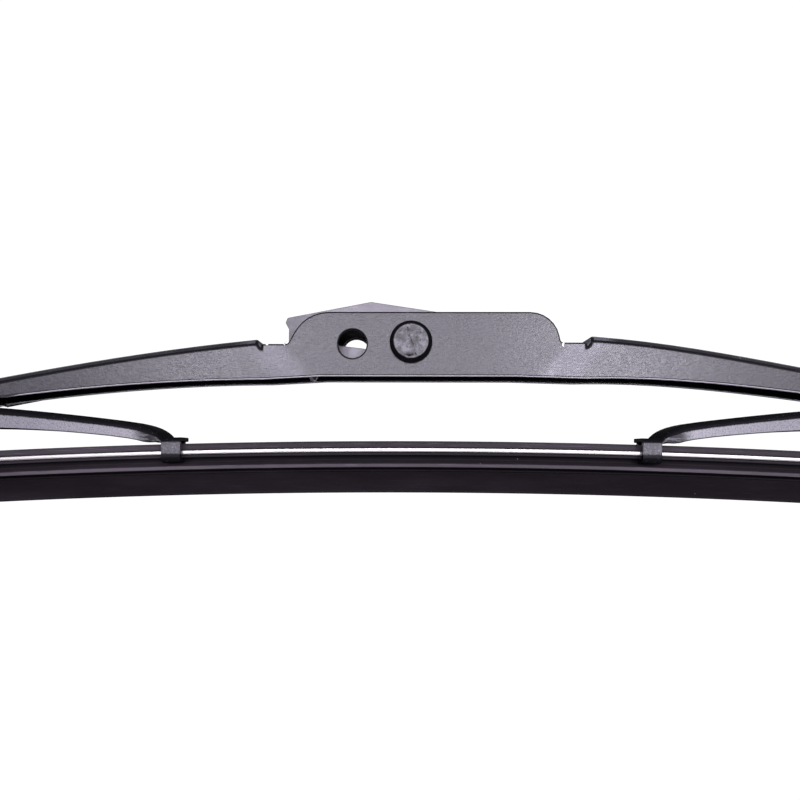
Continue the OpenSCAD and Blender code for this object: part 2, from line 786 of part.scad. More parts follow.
module end_yoke(side) color([0.42, 0.41, 0.44]) placed() mirrored(side) {
    difference() {
        union() {
            end_yoke_channel();
            claw(near_claw_x, end_t);
            claw(far_claw_x, end_t);
        }
        cross_bar(end_pivot_x, end_pivot_z, end_pivot_r + turn_gap, yoke_w + 2 * cut);
    }
}

module end_yoke_left() end_yoke(-1);
module end_yoke_right() end_yoke(1);

// Small rivets with a domed head on each side

module small_rivet(x, z, r, seat_w) {
    seat = seat_w / 2 + clinch_gap;
    head_r = 1.8 * r;
    dome = [for (k = [0:5]) [head_r * cos(18 * k), seat + dome_h * (0.25 + 0.75 * sin(18 * k))]];
    translate([x, 0, z])
        rotate([90, 0, 0])
            rotate_extrude($fn = round_fn / 2)
                polygon(concat(
                    [[r, -seat], [r, seat], [head_r, seat]], dome,
                    [for (k = [5:-1:0]) [dome[k][0], -dome[k][1]]], [[head_r, -seat]]
                ));
}

module yoke_rivet(side) color("SlateGray") placed()
    small_rivet(side * yoke_pivot_x, -yoke_pivot_drop, pivot_r, bridge_end_w);

module yoke_rivet_left() yoke_rivet(-1);
module yoke_rivet_right() yoke_rivet(1);

module end_rivet(side) color("SlateGray") placed()
    small_rivet(side * end_pivot_x, end_pivot_z, end_pivot_r, yoke_w);

module end_rivet_left() end_rivet(-1);
module end_rivet_right() end_rivet(1);

// Nylon liners: saddles over a yoke at its pivot, with a cheek on each side

module liner(x, z, inner_w, crest, half, drop, r) {
    inner = inner_w / 2 + side_gap;
    outer = inner + liner_t;
    floor_z = crest + side_gap;
    difference() {
        translate([x - half, 0, z])
            rotate([90, 0, 90])
                linear_extrude(2 * half)
                    polygon(rounded([
                        [-outer, -drop], [-outer, floor_z + liner_t, 0.8], [outer, floor_z + liner_t, 0.8],
                        [outer, -drop], [inner, -drop], [inner, floor_z], [-inner, floor_z], [-inner, -drop]
                    ]));
        cross_bar(x, z, r + turn_gap, 2 * outer + 2 * cut);
    }
}

module yoke_liner(side) color("WhiteSmoke") placed() mirrored(side)
    liner(yoke_pivot_x, -yoke_pivot_drop, yoke_w, yoke_crest, liner_half, pivot_r + 1.2, pivot_r);

module yoke_liner_left() yoke_liner(-1);
module yoke_liner_right() yoke_liner(1);

module end_liner(side) color("WhiteSmoke") placed() mirrored(side)
    liner(end_pivot_x, end_pivot_z, end_w, end_crest, end_liner_half, end_pivot_r + 1, end_pivot_r);

module end_liner_left() end_liner(-1);
module end_liner_right() end_liner(1);

// Rubber and flexors: one cross-section each, swept along the blade's own curve

body_z = groove_z - groove_h;
shoulder_z = body_z - 0.85;
shoulder_h = 0.75;
neck_z = shoulder_z - shoulder_h - 0.55;
neck_h = 0.55;
lip_z = neck_z - neck_h;

function rubber_half() = [
    [head_half - 0.5, 0], [head_half, -0.5], [head_half, -head_h], [core_half, -head_h],
    [core_half, flange_z], [flange_half, flange_z], [flange_half, groove_z], [core_half, groove_z - 0.1],
    [core_half, body_z], [shoulder_half, shoulder_z], [shoulder_half, shoulder_z - shoulder_h],
    [neck_half, neck_z], [neck_half, neck_z - neck_h + 0.1], [lip_half, lip_z],
    [lip_half - 0.25, lip_z - 0.45], [edge_half, lip_z - lip_h + 0.5], [edge_half, lip_z - lip_h]
];

// Revolves an outline of [y, z] points below the rubber's back over a length of the arc
module along_arc(outline, len) {
    angle = len / arc_r * 180 / PI;
    translate([0, 0, -rubber_drop - arc_r])
        rotate([-90, -90, 0])
            rotate([0, 0, -angle / 2])
                rotate_extrude(angle = angle, $fn = arc_fn)
                    polygon([for (p = outline) [arc_r + p[1], -p[0]]]);
}

module wiper_rubber() color([0.12, 0.12, 0.13]) placed() {
    half = rubber_half();
    n = len(half) - 1;
    along_arc(concat(half, [for (k = [n:-1:0]) [-half[k][0], half[k][1]]]), rubber_len);
}

module flexor(side) color("Gainsboro") placed() {
    low = flexor_z - flexor_t / 2;
    high = flexor_z + flexor_t / 2;
    along_arc(
        [
            for (p = [[flexor_in, low], [flexor_out - 0.1, low], [flexor_out, low + 0.1],
                      [flexor_out, high - 0.1], [flexor_out - 0.1, high], [flexor_in, high]])
                [side * p[0], p[1]]
        ],
        rubber_len - 2 * flexor_short
    );
}

module flexor_front() flexor(-1);
module flexor_rear() flexor(1);

// End caps: the claws' outline again, moulded, with an end wall

module end_cap(side) color([0.15, 0.15, 0.16]) placed() mirrored(side) {
    half = flexor_out + cap_gap;
    on_arc(rubber_len / 2) {
        translate([-cap_len / 2, 0, 0])
            grip(half, cap_gap, cap_t, claw_bend, cap_len + cap_gap);
        translate([cap_gap / 2, 0, 0])
            translate([0, -half - cap_t + 0.4, finger_z - cap_t + 0.4])
                cube([cap_t + cap_gap, 2 * (half + cap_t - 0.4), cap_gap - finger_z + 2 * cap_t - 0.8]);
    }
}

module end_cap_left() end_cap(-1);
module end_cap_right() end_cap(1);

main_bridge();
pivot_rivet();
pivot_bush();
lock_lever();
lever_spring();
yoke_rivet_left();
yoke_rivet_right();
yoke_left();
yoke_right();
yoke_liner_left();
yoke_liner_right();
end_rivet_left();
end_rivet_right();
end_yoke_left();
end_yoke_right();
end_liner_left();
end_liner_right();
wiper_rubber();
flexor_front();
flexor_rear();
end_cap_left();
end_cap_right();
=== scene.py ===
"""Looks of the wiper blade: its finishes, worn details and studio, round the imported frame."""

import json
import math

import bpy
from bpy.props import FloatProperty, FloatVectorProperty, IntProperty, PointerProperty
from mathutils import Matrix, Vector, noise

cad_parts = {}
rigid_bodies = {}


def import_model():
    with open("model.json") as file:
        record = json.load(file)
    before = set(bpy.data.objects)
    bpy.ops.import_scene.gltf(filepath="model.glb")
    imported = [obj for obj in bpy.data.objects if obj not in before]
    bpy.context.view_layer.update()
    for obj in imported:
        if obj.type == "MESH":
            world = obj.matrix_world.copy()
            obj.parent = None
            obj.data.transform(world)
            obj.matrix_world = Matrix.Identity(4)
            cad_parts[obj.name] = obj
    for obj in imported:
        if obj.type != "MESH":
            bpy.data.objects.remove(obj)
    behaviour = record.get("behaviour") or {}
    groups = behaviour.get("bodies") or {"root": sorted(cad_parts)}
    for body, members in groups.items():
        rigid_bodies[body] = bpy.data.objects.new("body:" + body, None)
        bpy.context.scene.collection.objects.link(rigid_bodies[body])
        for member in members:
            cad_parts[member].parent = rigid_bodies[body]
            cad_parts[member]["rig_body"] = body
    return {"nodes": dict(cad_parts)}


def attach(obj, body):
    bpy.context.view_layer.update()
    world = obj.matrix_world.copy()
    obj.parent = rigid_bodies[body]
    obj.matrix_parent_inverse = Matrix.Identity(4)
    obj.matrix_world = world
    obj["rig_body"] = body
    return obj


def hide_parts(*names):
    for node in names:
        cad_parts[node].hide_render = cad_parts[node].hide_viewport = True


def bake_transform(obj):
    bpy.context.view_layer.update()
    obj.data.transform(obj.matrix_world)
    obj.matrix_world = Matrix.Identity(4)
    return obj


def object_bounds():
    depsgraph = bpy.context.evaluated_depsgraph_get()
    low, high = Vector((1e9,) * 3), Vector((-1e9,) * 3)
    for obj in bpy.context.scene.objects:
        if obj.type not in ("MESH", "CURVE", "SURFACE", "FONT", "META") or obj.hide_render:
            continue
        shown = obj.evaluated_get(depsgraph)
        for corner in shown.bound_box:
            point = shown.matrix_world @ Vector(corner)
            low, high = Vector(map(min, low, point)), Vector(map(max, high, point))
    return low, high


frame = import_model()
cad_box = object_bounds()

bl_info = {
    "name": "Wiper Blade Looks",
    "version": (1, 0, 0),
    "blender": (4, 5, 0),
    "location": "3D View > Sidebar > Wiper",
    "description": "Dresses a packed wiper blade with its finishes, wear and studio",
    "category": "Object",
}

MM = 0.001

# Places and sizes that the construction fixes, in metres, in the frame's own axes. The origin is the centre
# of the pin bore.
RIVET = Vector((0.0134, 0.0066, 0.0004))
FRONT_FACE = 0.0
REAR_FACE = 13.2 * MM
BORE_R = 3.25 * MM
RIVET_R = 2 * MM
RIVET_HEAD_R = 4.85 * MM
RUBBER_BACK = RIVET.z - 22.5 * MM
ARC_R = 1.92
RUBBER_HALF = 0.2
FLEXOR_HALF = 0.1985
INNER_CLAW = 54.8 * MM
NEAR_CLAW = 115 * MM
CLAW_HALF = 2.2 * MM

# Where the finishes change: the radius of the rivet's scuffed face, and the heights of a claw's bends, which
# get painted shade
RIVET_FACE_R = 4 * MM
CLAW_TOP_BEND = -22.55 * MM
CLAW_FOOT_BEND = -25.1 * MM

# Cross-sections of the rubber's one side and of a flexor, in millimetres: distance from the middle and height
# from the rubber's back
RUBBER_SIDE = [
    (2.5, 0), (3, -0.5), (3, -1.6), (1.6, -1.6), (1.6, -2.53), (3.2, -2.53), (3.2, -3.23), (1.6, -3.33),
    (1.6, -4.38), (2.6, -5.23), (2.6, -5.98), (0.45, -6.53), (0.45, -6.98), (2.3, -7.08),
    (2.05, -7.53), (0.35, -11.48), (0.35, -11.98),
]
FLEXOR_SIDE = [(1.64, -2.49), (4.19, -2.49), (4.19, -1.64), (1.64, -1.64)]

# Angle in degrees past which the edge of a dressed piece is rounded and shaded sharp
SHARP = 32

# Height of the table that the blade's rubber would touch. The floor lies lower, because the blade's ends drop
# by up to 15 mm when the yokes rock.
TABLE = cad_box[0].z - 0.2 * MM
FLOOR = TABLE - 18 * MM

# Upright strips of light in front of the blade, in metres, with each one's place along the blade and share of
# the front light
STRIP_Y = -0.62
STRIP_Z = 0.02
STRIP_SIZE = (0.11, 0.5)
FRONT_STRIPS = (
    (-0.455, 0.35), (-0.345, 1.2), (-0.235, 2.5), (-0.125, 0.4), (-0.015, 1.65), (0.095, 0.34), (0.205, 1.7),
    (0.315, 3.5), (0.425, 0.1), (0.535, 0.8), (0.645, 1),
)

# Panels of light behind the blade, and a low one that stands in for a bright table top
REAR_PANELS = ((-0.4, 0.7, 0.25), (0.45, 0.7, 0.25))
REAR_SIZE = (0.5, 0.5)
GLOW_PLACE = (RIVET.x, 0.28, TABLE + MM)
GLOW_SIZE = (1.4, 0.36)


# Properties


class WiperStage(bpy.types.PropertyGroup):
    """Camera, lights and backdrop."""

    camera_place: FloatVectorProperty(
        name="Camera place", description="Where the camera stands",
        default=(0.01205, -0.14, -0.0252), subtype="TRANSLATION", unit="LENGTH",
    )
    camera_pitch: FloatProperty(
        name="Pitch", description="Upward tilt of the camera", default=math.radians(5.02), subtype="ANGLE"
    )
    camera_turn: FloatProperty(
        name="Turn", description="Turn of the camera towards the blade's left end",
        default=math.radians(0.46), subtype="ANGLE",
    )
    camera_roll: FloatProperty(
        name="Roll", description="Roll of the camera", default=math.radians(0.14), subtype="ANGLE"
    )
    lens: FloatProperty(name="Lens", description="Focal length in millimetres", default=27.9, min=10)
    front_light: FloatProperty(
        name="Front light", description="Brightness of the front strips, before each one's share",
        default=6.0, min=0,
    )
    rear_light: FloatProperty(
        name="Rear light", description="Brightness of the rear panels' faces", default=1.1, min=0
    )
    floor_glow: FloatProperty(
        name="Floor glow", description="Brightness of the table top behind the blade", default=0.8, min=0
    )
    tint: FloatVectorProperty(
        name="Tint", description="Colour of the panels' light",
        default=(1, 0.96, 1.1), subtype="COLOR", min=0, max=2,
    )
    room: FloatProperty(
        name="Room", description="Brightness of the room round the blade", default=0.2, min=0
    )


class WiperFinish(bpy.types.PropertyGroup):
    """Colours and roughness of the finishes."""

    paint: FloatVectorProperty(
        name="Paint", description="Colour of the frame's black paint",
        default=(0.021, 0.02, 0.0235), subtype="COLOR", min=0, max=1,
    )
    # The yokes' grey is a painted reflection of the front lights on their walls.
    yoke: FloatVectorProperty(
        name="Yoke", description="Colour of the yokes' greyer paint",
        default=(0.17, 0.165, 0.185), subtype="COLOR", min=0, max=1,
    )
    paint_roughness: FloatProperty(
        name="Paint roughness", description="Roughness of the frame's paint", default=0.27, min=0, max=1
    )
    yoke_roughness: FloatProperty(
        name="Yoke roughness", description="Roughness of the yokes' paint", default=0.3, min=0, max=1
    )
    lever: FloatVectorProperty(
        name="Lever", description="Colour of the lever's coated plate",
        default=(0.135, 0.129, 0.14), subtype="COLOR", min=0, max=1,
    )
    steel: FloatVectorProperty(
        name="Steel", description="Colour of bright spring steel",
        default=(0.42, 0.405, 0.385), subtype="COLOR", min=0, max=1,
    )
    rubber: FloatVectorProperty(
        name="Rubber", description="Colour of the wiping element",
        default=(0.0045, 0.0035, 0.0045), subtype="COLOR", min=0, max=1,
    )
    # The colour of the painted highlights on the rubber's ribs.
    rib_sheen_colour: FloatVectorProperty(
        name="Dusty rubber", description="Colour of the rubber's dusty ribs",
        default=(0.08, 0.07, 0.08), subtype="COLOR", min=0, max=1,
    )


class WiperDetail(bpy.types.PropertyGroup):
    """Sizes of the small forms that only the looks have."""

    sheet_edge: FloatProperty(
        name="Sheet edge", description="Rounding of the pressed sheets' edges",
        default=0.42 * MM, min=0, subtype="DISTANCE", unit="LENGTH",
    )
    lever_edge: FloatProperty(
        name="Lever edge", description="Rounding of the lever's edges",
        default=0.15 * MM, min=0, subtype="DISTANCE", unit="LENGTH",
    )
    rubber_edge: FloatProperty(
        name="Rubber edge", description="Rounding of the corners of the rubber, the flexors and the end caps",
        default=0.12 * MM, min=0, subtype="DISTANCE", unit="LENGTH",
    )
    sweep_steps: IntProperty(
        name="Sweep steps", description="Lengths that a hundred millimetres of rubber is cut into",
        default=40, min=4,
    )
    seam_depth: FloatProperty(
        name="Seam depth", description="Depth of the fold across the rivet's head",
        default=0.09 * MM, min=0, subtype="DISTANCE", unit="LENGTH",
    )


# Modelling


def only(piece):
    """Selects this piece alone and makes it active."""
    bpy.ops.object.select_all(action="DESELECT")
    piece.select_set(True)
    bpy.context.view_layer.objects.active = piece


def added(name):
    """Names the primitive that was added last."""
    piece = bpy.context.object
    piece.name = name
    piece.data.name = name
    return piece


def edit(piece):
    """Opens the piece in edit mode."""
    only(piece)
    bpy.ops.object.mode_set(mode="EDIT")


def leave():
    """Goes back to object mode."""
    bpy.ops.object.mode_set(mode="OBJECT")


def settle(piece):
    """Puts the piece's place into its mesh."""
    only(piece)
    bpy.ops.object.transform_apply(location=True, rotation=True, scale=True)
    return piece


def apply(piece, kind, **settings):
    """Adds one modifier and applies it."""
    only(piece)
    modifier = piece.modifiers.new(kind.title(), kind)
    for key, value in settings.items():
        setattr(modifier, key, value)
    bpy.ops.object.modifier_apply(modifier=modifier.name)


def smooth(piece, angle):
    """Shades the piece smooth, with sharp edges past this angle in degrees."""
    only(piece)
    bpy.ops.object.shade_smooth_by_angle(angle=math.radians(angle))
    return piece


def mend_normals(piece):
    """Merges doubles and turns all faces outwards."""
    edit(piece)
    bpy.ops.mesh.select_all(action="SELECT")
    bpy.ops.mesh.remove_doubles(threshold=1e-7)
    bpy.ops.mesh.normals_make_consistent(inside=False)
    leave()


def merged_copy(node, name):
    """A copy of a CAD node whose loose triangles are welded at their shared corners."""
    piece = bpy.data.objects.new(name, frame["nodes"][node].data.copy())
    bpy.context.scene.collection.objects.link(piece)
    piece.data.name = name
    piece.data.materials.clear()
    edit(piece)
    bpy.ops.mesh.select_all(action="SELECT")
    bpy.ops.mesh.remove_doubles(threshold=1e-6)
    leave()
    return piece


def dressed(node, name, edge, finishes, segments=3):
    """A copy of a CAD node with rounded edges that stands for the node. The last finish is for the edges."""
    piece = merged_copy(node, name)
    for coat in finishes:
        piece.data.materials.append(coat)
    smooth(piece, SHARP)
    apply(
        piece, "BEVEL", width=edge, segments=segments, limit_method="ANGLE", angle_limit=math.radians(SHARP),
        use_clamp_overlap=False, loop_slide=False, material=len(finishes) - 1,
    )
    level_walls(piece)
    survey(piece)
    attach(piece, frame["nodes"][node]["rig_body"])
    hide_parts(node)


def level_walls(piece):
    """Keeps upright walls flat in shading, and lets the other faces meet softly where they aren't sharp."""
    mesh = piece.data
    soft = math.cos(math.radians(SHARP))
    upright = 0.9998
    around = [[] for _ in mesh.vertices]
    for face in mesh.polygons:
        for corner in face.vertices:
            around[corner].append(face)
    normals = []
    for face in mesh.polygons:
        for corner in face.vertices:
            total = Vector((0, 0, 0))
            if abs(face.normal.y) <= upright:
                for other in around[corner]:
                    if other.normal.dot(face.normal) > soft:
                        total += other.normal * other.area
            normals.append(total.normalized() if total.length > 0 else face.normal.copy())
    mesh.normals_split_custom_set(normals)


def survey(piece):
    """Stores which way each face looks, and how deep each point lies below a taut thread over the piece.

    looks_up is -1 on a face that looks down, 0 on a wall and 1 on a top. looks_in is 1 on a wall's inside.
    """
    mesh = piece.data
    looks_up = mesh.attributes.new("looks_up", "FLOAT", "FACE")
    looks_in = mesh.attributes.new("looks_in", "FLOAT", "FACE")
    for up, inward, face in zip(looks_up.data, looks_in.data, mesh.polygons):
        up.value = face.normal.z
        inward.value = 1.0 if face.normal.y * (face.center.y - RIVET.y) < -0.5 * MM else 0.0
    thread = []
    for x, z in sorted((v.co.x, v.co.z) for v in mesh.vertices):
        while len(thread) > 1 and sags(thread[-2], thread[-1], (x, z)):
            thread.pop()
        thread.append((x, z))
    below_top = mesh.attributes.new("below_top", "FLOAT", "POINT")
    for vertex, below in zip(mesh.vertices, below_top.data):
        x, _, z = vertex.co
        for (x0, z0), (x1, z1) in zip(thread, thread[1:]):
            if x0 <= x <= x1 and x1 > x0:
                below.value = z0 + (z1 - z0) * (x - x0) / (x1 - x0) - z


def sags(a, b, c):
    """Whether b lies on or below the line from a to c."""
    return (b[0] - a[0]) * (c[1] - a[1]) >= (b[1] - a[1]) * (c[0] - a[0])


def on_arc(distance, y, depth):
    """A point by its distance from the rivet along the blade's curve and height from the rubber's back."""
    turn = distance / ARC_R
    return Vector((
        RIVET.x + (ARC_R + depth) * math.sin(turn),
        RIVET.y + y,
        RUBBER_BACK + (ARC_R + depth) * math.cos(turn) - ARC_R,
    ))


def swept(name, outline, edge, start, end):
    """A bar of one cross-section in millimetres, between two distances along the blade's curve."""
    bpy.ops.object.select_all(action="DESELECT")
    bpy.ops.mesh.primitive_circle_add(vertices=len(outline), radius=MM, fill_type="NGON")
    piece = added(name)
    for vertex, (y, depth) in zip(piece.data.vertices, outline):
        vertex.co = on_arc(start, y * MM, depth * MM)
    edit(piece)
    bpy.ops.mesh.select_all(action="SELECT")
    bpy.ops.mesh.bevel(offset=edge, segments=2, affect="VERTICES", clamp_overlap=True)
    bpy.ops.mesh.select_all(action="SELECT")
    steps = max(2, round(abs(end - start) / 0.1 * bpy.context.scene.wiper_detail.sweep_steps))
    centre = (RIVET.x, RIVET.y, RUBBER_BACK - ARC_R)
    bpy.ops.mesh.spin(steps=steps, angle=(end - start) / ARC_R, center=centre, axis=(0, -1, 0))
    leave()
    mend_normals(piece)
    return smooth(piece, 30)


def tube(name, path, radius):
    """A wire that follows these points."""
    curve = bpy.data.curves.new(name, "CURVE")
    curve.dimensions = "3D"
    curve.bevel_depth = radius
    curve.bevel_resolution = 4
    curve.use_fill_caps = True
    line = curve.splines.new("POLY")
    line.points.add(len(path) - 1)
    for point, place in zip(line.points, path):
        point.co = (*place, 1)
    piece = bpy.data.objects.new(name, curve)
    bpy.context.scene.collection.objects.link(piece)
    only(piece)
    bpy.ops.object.convert(target="MESH")
    piece = bpy.context.object
    mend_normals(piece)
    return smooth(piece, 50)


# Finishes


class Value:
    """A socket of a finish. Sums and products of values add their Math nodes."""

    def __init__(self, finish, socket):
        self.finish = finish
        self.socket = socket

    def _math(self, operation, first, second=0.0):
        return self.finish.node("ShaderNodeMath", {"operation": operation}, {0: first, 1: second})

    def __add__(self, other):
        return self._math("ADD", self, other)

    __radd__ = __add__

    def __sub__(self, other):
        return self._math("SUBTRACT", self, other)

    def __rsub__(self, other):
        return self._math("SUBTRACT", other, self)

    def __mul__(self, other):
        return self._math("MULTIPLY", self, other)

    __rmul__ = __mul__

    def __truediv__(self, other):
        return self._math("DIVIDE", self, other)

    def __pow__(self, other):
        return self._math("POWER", self, other)

    def __abs__(self):
        return self._math("ABSOLUTE", self)

    def above(self, other):
        """The larger of the two."""
        return self._math("MAXIMUM", self, other)

    def below(self, other):
        """The smaller of the two."""
        return self._math("MINIMUM", self, other)


class Finish:
    """A material in the making, with one method that adds any node."""

    def __init__(self, name, **constants):
        self.material = bpy.data.materials.new(name)
        self.material.use_nodes = True
        self.tree = self.material.node_tree
        self.shader = self.tree.nodes["Principled BSDF"]
        self.place = self.node("ShaderNodeTexCoord", {}, {}, "Object")
        for key, value in constants.items():
            self.set(key.replace("_", " ").title().replace("Ior", "IOR"), value)

    def node(self, kind, settings, inputs, out=0):
        """Adds a node with its settings and the values or links of its sockets."""
        made = self.tree.nodes.new(kind)
        for key, value in settings.items():
            if key == "stops":
                ramp = made.color_ramp.elements
                for k, (at, colour) in enumerate(value):
                    stop = ramp[k] if k < len(ramp) else ramp.new(at)
                    stop.position, stop.color = at, colour
            else:
                setattr(made, key, value)
        for key, value in inputs.items():
            self.feed(made.inputs[key], value)
        return Value(self, made.outputs[out])

    def feed(self, socket, value):
        """Links a value to any socket, or gives the socket a constant."""
        if isinstance(value, Value):
            self.tree.links.new(value.socket, socket)
        else:
            socket.default_value = value

    def set(self, name, value):
        """Feeds a socket of the shader by its name."""
        self.feed(self.shader.inputs[name], value)

    def axes(self):
        """X, Y and Z of the place as three values."""
        parts = self.node("ShaderNodeSeparateXYZ", {}, {0: self.place}).socket.node
        return [Value(self, parts.outputs[k]) for k in range(3)]

    def grain(self, size, stretch=(1, 1, 1), detail=2.0, rough=0.55, shift=0.0):
        """Noise from 0 to 1 whose spots are about size metres, and longer where stretch is over 1."""
        placed = self.node(
            "ShaderNodeMapping", {},
            {"Vector": self.place, "Location": (shift, shift, shift), "Scale": [1 / s for s in stretch]},
        )
        return self.node(
            "ShaderNodeTexNoise", {},
            {"Vector": placed, "Scale": 1 / size, "Detail": detail, "Roughness": rough},
        )

    def cells(self, size, shift=0.0):
        """Distance to the nearest of scattered points, as a share of size, which is about their spacing."""
        placed = self.node("ShaderNodeMapping", {}, {"Vector": self.place, "Location": (shift, shift, shift)})
        return self.node("ShaderNodeTexVoronoi", {}, {"Vector": placed, "Scale": 1 / size}, "Distance")

    def step(self, value, low, high):
        """0 below low, 1 above high, and smooth between them. low may be the larger."""
        return self.node(
            "ShaderNodeMapRange", {"interpolation_type": "SMOOTHSTEP"},
            {"Value": value, "From Min": low, "From Max": high},
        )

    def surveyed(self, name):
        """A value that survey stored under this name."""
        return self.node("ShaderNodeAttribute", {"attribute_name": name}, {}, "Fac")

    def depth(self):
        """Depth below the rubber's back in metres, along the blade's curve."""
        x, _, z = self.axes()
        return RUBBER_BACK - z - (x - RIVET.x) ** 2.0 / (2 * ARC_R)

    def knee(self, value, width):
        """0 below 0 and the value itself above it, with a soft bend between them."""
        return (value + (value ** 2.0 + width ** 2) ** 0.5) * 0.5

    def zones(self, value, *stops):
        """A value that follows straight lines through the stops, which are (place, value)."""
        low, high = stops[0][0], stops[-1][0]
        ramp = [((at - low) / (high - low), (level, level, level, 1)) for at, level in stops]
        along = self.node("ShaderNodeMapRange", {}, {"Value": value, "From Min": low, "From Max": high})
        return self.node("ShaderNodeValToRGB", {"stops": ramp}, {"Fac": along})

    def away(self, x, z):
        """Distance from a cross bar through the blade at this place."""
        px, _, pz = self.axes()
        return ((px - x) ** 2.0 + (pz - z) ** 2.0) ** 0.5

    def mixed(self, amount, first, second):
        """A colour from first to second."""
        return self.node(
            "ShaderNodeMix", {"data_type": "RGBA"},
            {"Factor": amount, 6: shade(first), 7: shade(second)}, 2,
        )

    def bump(self, height):
        """Raises the surface by height, in metres."""
        raised = self.node("ShaderNodeBump", {}, {"Height": height, "Distance": 1.0, "Strength": 1.0})
        self.set("Normal", raised)

    def glossless(self, amount):
        """Mixes in the same finish without any gloss. It comes after everything else that the finish sets."""
        dull = self.tree.nodes.new("ShaderNodeBsdfPrincipled")
        for ours, theirs in zip(self.shader.inputs, dull.inputs):
            theirs.default_value = ours.default_value
            if ours.is_linked:
                self.tree.links.new(ours.links[0].from_socket, theirs)
        dull.inputs["Specular IOR Level"].default_value = 0.0
        both = self.node(
            "ShaderNodeMixShader", {},
            {0: amount, 1: Value(self, self.shader.outputs[0]), 2: Value(self, dull.outputs[0])},
        )
        self.tree.links.new(both.socket, self.tree.nodes["Material Output"].inputs["Surface"])


def shade(colour):
    """A colour with alpha, or a link as it is."""
    return colour if isinstance(colour, Value) else (*tuple(colour)[:3], 1.0)


def scaled(colour, factor):
    """A colour with each share multiplied by factor."""
    return tuple(c * factor for c in colour)


made_finishes = {}


def finish(name):
    """The finish of that name, made when it is first asked for."""
    if name not in made_finishes:
        made_finishes[name] = FINISHES[name]()
    return made_finishes[name]


def satin_paint():
    """Black stoved paint of the bridge: fine orange peel and rubbed patches, with painted reflections past
    the ears and on lower cut edges, and painted shade in the bore.
    """
    look = bpy.context.scene.wiper_finish
    f = Finish("satin_black_paint")
    peel = f.grain(0.42 * MM, stretch=(2.6, 1, 1), detail=3, rough=0.7)
    swell = f.grain(3 * MM, stretch=(2.2, 1, 1), detail=2)
    dust = f.step(f.cells(3.1 * MM, 0.3), 0.055, 0.03) * f.step(f.grain(9 * MM), 0.5, 0.62)
    rub = f.step(f.grain(6 * MM, stretch=(1.5, 1, 1), detail=4), 0.42, 0.72)
    base = f.mixed(rub, look.paint, scaled(look.paint, 1.5))
    x, y, z = f.axes()
    up = f.surveyed("looks_up")
    # Painted reflection: light grey on the outer walls' downward cut edges stands for the bright table below.
    cut_edge_glint = f.step(up, -0.8, -0.95) * f.step(abs(y - RIVET.y), 4.8 * MM, 5.1 * MM)
    # Painted shade: near-black colour, with little gloss, in the bore and on the walls' inner faces.
    bore_shade = f.step(f.away(0, 0), BORE_R + 0.25 * MM, BORE_R + 0.05 * MM).above(f.surveyed("looks_in"))
    past_ears = abs(x - RIVET.x - 3 * MM) - 34 * MM - z * 0.9
    # Painted reflection: the paint lightens in fans past the ears, more on the right.
    painted_fan_reflection = f.step(past_ears, -3 * MM, 1.5 * MM) * f.step(past_ears, 10 * MM, 5 * MM)
    painted_fan_reflection = painted_fan_reflection * (0.7 + f.step(x, 0, 20 * MM) * 0.5)
    base = f.mixed(painted_fan_reflection, base, scaled(look.paint, 4))
    base = f.mixed(dust * 0.6, base, (0.35, 0.34, 0.36))
    base = f.mixed(cut_edge_glint, base, (0.5, 0.48, 0.51))
    f.set("Base Color", f.mixed(bore_shade, base, (0.002, 0.0015, 0.0015)))
    f.set("Roughness", look.paint_roughness + rub * 0.06 + (peel - 0.5) * 0.42)
    bend = f.knee(past_ears - 8 * MM, 2 * MM) * 0.045 - f.knee(past_ears, 2 * MM) * 0.075
    f.bump(peel * 7.5e-5 + swell * 3.5e-5 + bend)
    f.glossless(1 - (0.4 + f.step(abs(up), 0.5, 0.3) * 0.6) * (1 - bore_shade * 0.9))
    return f.material


def rubbed_edge_and_glint():
    """Paint on a sheet's rounded edges, thin enough for steel to show in places, with a painted reflection
    along the outer walls' lower edges.
    """
    look = bpy.context.scene.wiper_finish
    f = Finish("rubbed_paint_edge_and_glint", specular_ior_level=0.25)
    _, y, _ = f.axes()
    # Painted reflection: the outer walls' downward rounded edges away from the bore get a light grey that is
    # not metallic, standing for the bright table below.
    edge_glint = f.step(f.surveyed("looks_up"), -0.6, -0.72) * f.step(abs(y - RIVET.y), 4.6 * MM, 4.9 * MM)
    edge_glint = edge_glint * f.step(f.away(0, 0), BORE_R + 0.65 * MM, BORE_R + 1.05 * MM)
    worn = f.step(f.grain(1.3 * MM, detail=5, rough=0.7), 0.64, 0.7) * f.step(f.grain(14 * MM), 0.5, 0.6)
    worn = worn.above(edge_glint)
    metal_and_glint = f.mixed(edge_glint, (0.2, 0.19, 0.21), (0.6, 0.58, 0.61))
    f.set("Base Color", f.mixed(worn, scaled(look.paint, 0.25), metal_and_glint))
    f.set("Roughness", 0.24 + worn * 0.15)
    f.set("Metallic", (worn - edge_glint) * 0.4)
    f.bump(f.grain(0.5 * MM) * 4e-6)
    return f.material


